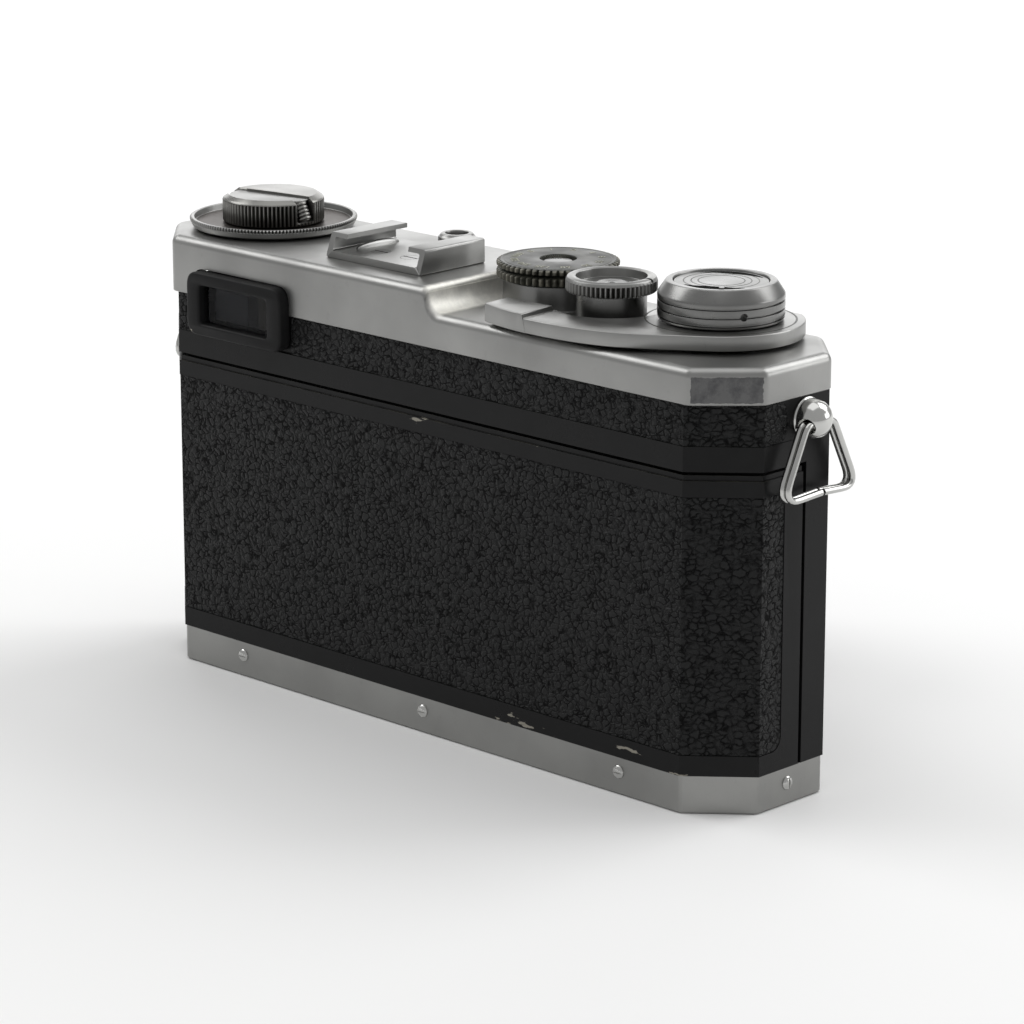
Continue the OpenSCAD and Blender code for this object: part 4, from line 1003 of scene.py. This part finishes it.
def glass_cell(name, nodes, r, rear, rim, bulge, n):
    """A flat-backed glass with a domed front."""
    angles = [math.radians(a) for a in range(90, 0, -6)]
    dome = [(r * math.sin(a), rim + bulge * math.cos(a)) for a in angles]
    bm = bmesh.new()
    lathe(bm, [(0, rear), (r, rear)] + dome + [(0, rim + bulge)], n=n, place=FORWARD)
    shape_object(name, bm, "camera_body", "lens_glass", nodes)


def build_iris():
    """Ten blades that overlap like a fan and leave a ten-sided opening."""
    blades, steps, opening, rim = 10, 6, 9, 15.95
    apothem = opening * math.cos(math.pi / blades)
    bm = bmesh.new()
    for i in range(blades):
        inner, outer = [], []
        for j in range(steps + 1):
            t = j / steps
            a = TAU * (i + t) / blades
            q = apothem / math.cos((t - 0.5) * TAU / blades)
            rise = 0.35 * t
            inner.append(bm.verts.new((q * math.cos(a) * MM, q * math.sin(a) * MM, (40.0 + rise) * MM)))
            outer.append(bm.verts.new((rim * math.cos(a) * MM, rim * math.sin(a) * MM, (40.3 + rise) * MM)))
        bridge(bm, inner, outer, False)
    bmesh.ops.transform(bm, matrix=FORWARD, verts=bm.verts)
    shape_object("iris_blades", bm, "camera_body", "steel_dark", ())


def build_lens():
    front, head, seat = 57.5, HEAD_R, FILTER_R
    lens_part("lens_tube", [(17.7, 15.97), (24.0, 15.97, 0.2), (24.0, FLANGE, 0.35), (22.9, FLANGE + 0.25),
                            (22.5, FLANGE + 0.4, 0.1), (22.5, BARREL_FRONT - 3.4, 0.03),
                            (22.2, BARREL_FRONT - 3.3, 0.03), (22.2, BARREL_FRONT - 2.9, 0.03),
                            (22.5, BARREL_FRONT - 2.8, 0.03), (22.5, BARREL_FRONT, 0.25),
                            (17.7, BARREL_FRONT)],
              "camera_body", "satin_chrome", ("lens_barrel",), n=192)
    lens_part("lens_core", [(16.0, 15.97), (17.6, 15.97), (17.6, 54.4), (16.0, 54.4)], "camera_body",
              "window_black", (), "black_paint", n=160)
    lens_part("lens_head", [(17.6, APERTURE[1] + 0.3), (head, APERTURE[1] + 0.3, 0.3),
                            (head, front - 1.9, 0.1),
                            (head - 0.35, front - 1.75, 0.05), (head - 0.35, front - 1.45, 0.05),
                            (head, front - 1.3, 0.1), (head, front, 0.35), (seat + 0.1, front, 0.25),
                            (seat, front - 0.5), (seat, 54.5), (17.6, 54.5)],
              "camera_body", "satin_chrome", n=192)
    lens_part("name_ring", [(15.1, 54.0), (seat - 0.08, 54.0), (seat - 0.08, 54.95, 0.1), (15.3, 54.35, 0.1)],
              "camera_body", "window_black", (), "black_paint", n=192)
    bm = bmesh.new()
    for i in range(5):
        z = 55.1 + i * 0.42
        lathe(bm, [(seat - 0.1, z), (seat - 0.32, z + 0.2), (seat - 0.1, z + 0.4)], n=160, place=FORWARD)
    shape_object("filter_thread", bm, "camera_body", "steel")
    glass_cell("front_cell", ("lens_optics",), 15.0, 47.2, 51.4, 2.6, 128)
    lens_part("cell_ring", [(14.2, 46.6), (15.95, 46.6), (15.95, 54.3, 0.1), (15.05, 54.3, 0.2),
                            (15.05, 47.0)],
              "camera_body", "window_black", (), "black_paint", n=160)
    build_iris()
    glass_cell("rear_cell", (), 14.5, 27.0, 31.0, 1.8, 96)

    low, high = FOCUS
    lens_part("focus_grip", [(17.7, low), (23.0, low, 0.2), (23.0, low + 2.6, 0.05), (23.75, low + 2.9, 0.2),
                             (23.75, high - 0.6, 0.2), (23.3, high, 0.2), (17.7, high)],
              "focus_ring", "satin_chrome", ("focus_ring",), n=72 * 8, teeth=72, depth=0.6, power=0.7,
              band=(low + 2.95, high - 0.5), least=23.1)
    low, high = APERTURE
    lens_part("aperture_grip", [(17.7, low), (20.4, low, 0.2), (20.4, low + 3.7, 0.05),
                                (21.2, low + 3.95, 0.15), (21.3, low + 6.3, 0.15), (20.4, low + 6.6, 0.1),
                                (20.3, high, 0.1), (17.7, high)],
              "aperture_ring", "satin_chrome", ("aperture_ring",), n=60 * 8, teeth=60, depth=0.5, power=0.8,
              band=(low + 3.9, low + 6.4), least=20.6)
    ring_numerals("focus_numerals", ["1", "1.2", "1.5", "2", "3", "5", "10"], 1.9, "focus_ring",
                  23.02, FOCUS[0] + 1.35, 128, 62)
    ring_numerals("aperture_numerals", ["16", "11", "8", "5.6", "4", "2.8", "2"], 1.9, "aperture_ring",
                  20.42, APERTURE[0] + 1.9, 122, 58)
    ring_numerals("depth_numerals", ["16", "8", "4", "|", "4", "8", "16"], 1.7, "camera_body",
                  22.52, BARREL_FRONT - 1.45, 112, 68)


build_lens()

# ---- camera, floor and lights ----

AZIMUTH, ELEVATION = math.radians(224.26), math.radians(15.38)
STATION = Vector((-0.46091, 0.46647, 0.21525))
right = Vector((math.cos(AZIMUTH), math.sin(AZIMUTH), 0))
level = math.cos(ELEVATION)
back = Vector((math.sin(AZIMUTH) * level, -math.cos(AZIMUTH) * level, math.sin(ELEVATION)))
up = back.cross(right)
cam_data = bpy.data.cameras.new("camera")
cam_data.sensor_width = 36.0
cam_data.lens = 142.95
cam_data.clip_start = 0.01
cam = bpy.data.objects.new("camera", cam_data)
cam.matrix_world = Matrix.Translation(STATION) @ Matrix((right, up, back)).transposed().to_4x4()
scene.collection.objects.link(cam)
scene.camera = cam
scene.view_settings.view_transform = "Standard"

bm = bmesh.new()
bmesh.ops.create_grid(bm, x_segments=2, y_segments=2, size=4.0)
mesh = bpy.data.meshes.new("floor")
bm.to_mesh(mesh)
bm.free()
floor = bpy.data.objects.new("floor", mesh)
floor.location.z = -0.00005
scene.collection.objects.link(floor)
ground = Look("floor_paper", Specular_IOR_Level=0.2)
paper = ground.mix(ground.ramp(ground.noise(3, 3), 0.3, 0.7), (0.86, 0.86, 0.855), (0.87, 0.87, 0.87))
dull = ground.ramp(ground.noise(8, 3), 0.3, 0.7, 0.8, 0.9)
ground.set(ground.bsdf, {"Base Color": paper, "Roughness": dull})
mesh.materials.append(ground.mat)

world = bpy.data.worlds.new("studio")
world.use_nodes = True
scene.world = world
shade = world.node_tree.nodes["Background"]
shade.inputs[0].default_value = (1.0, 1.0, 1.0, 1)
shade.inputs[1].default_value = 0.5


def area_light(name, place, target, size, power):
    data = bpy.data.lights.new(name, "AREA")
    data.shape = "RECTANGLE"
    data.size, data.size_y = size
    data.energy = power
    light = bpy.data.objects.new(name, data)
    light.location = place
    light.rotation_euler = (Vector(target) - Vector(place)).to_track_quat("-Z", "Y").to_euler()
    light.visible_camera = False
    scene.collection.objects.link(light)


area_light("top_light", (0.0, 0.0, 1.3), (0, 0, 0.05), (1.1, 1.1), 3.4)
area_light("front_light", (-0.35, -0.9, 0.93), (0, 0, 0.05), (0.8, 0.8), 6.5)
area_light("left_light", (0.88, 0.35, 0.95), (0, 0, 0.05), (0.7, 0.7), 4.6)
area_light("far_left_light", (1.0, -1.03, 0.46), (0, 0, 0.06), (1.3, 0.8), 4.6)
area_light("far_right_light", (-1.0, -1.0, 0.38), (0, 0, 0.06), (0.8, 0.5), 3.2)
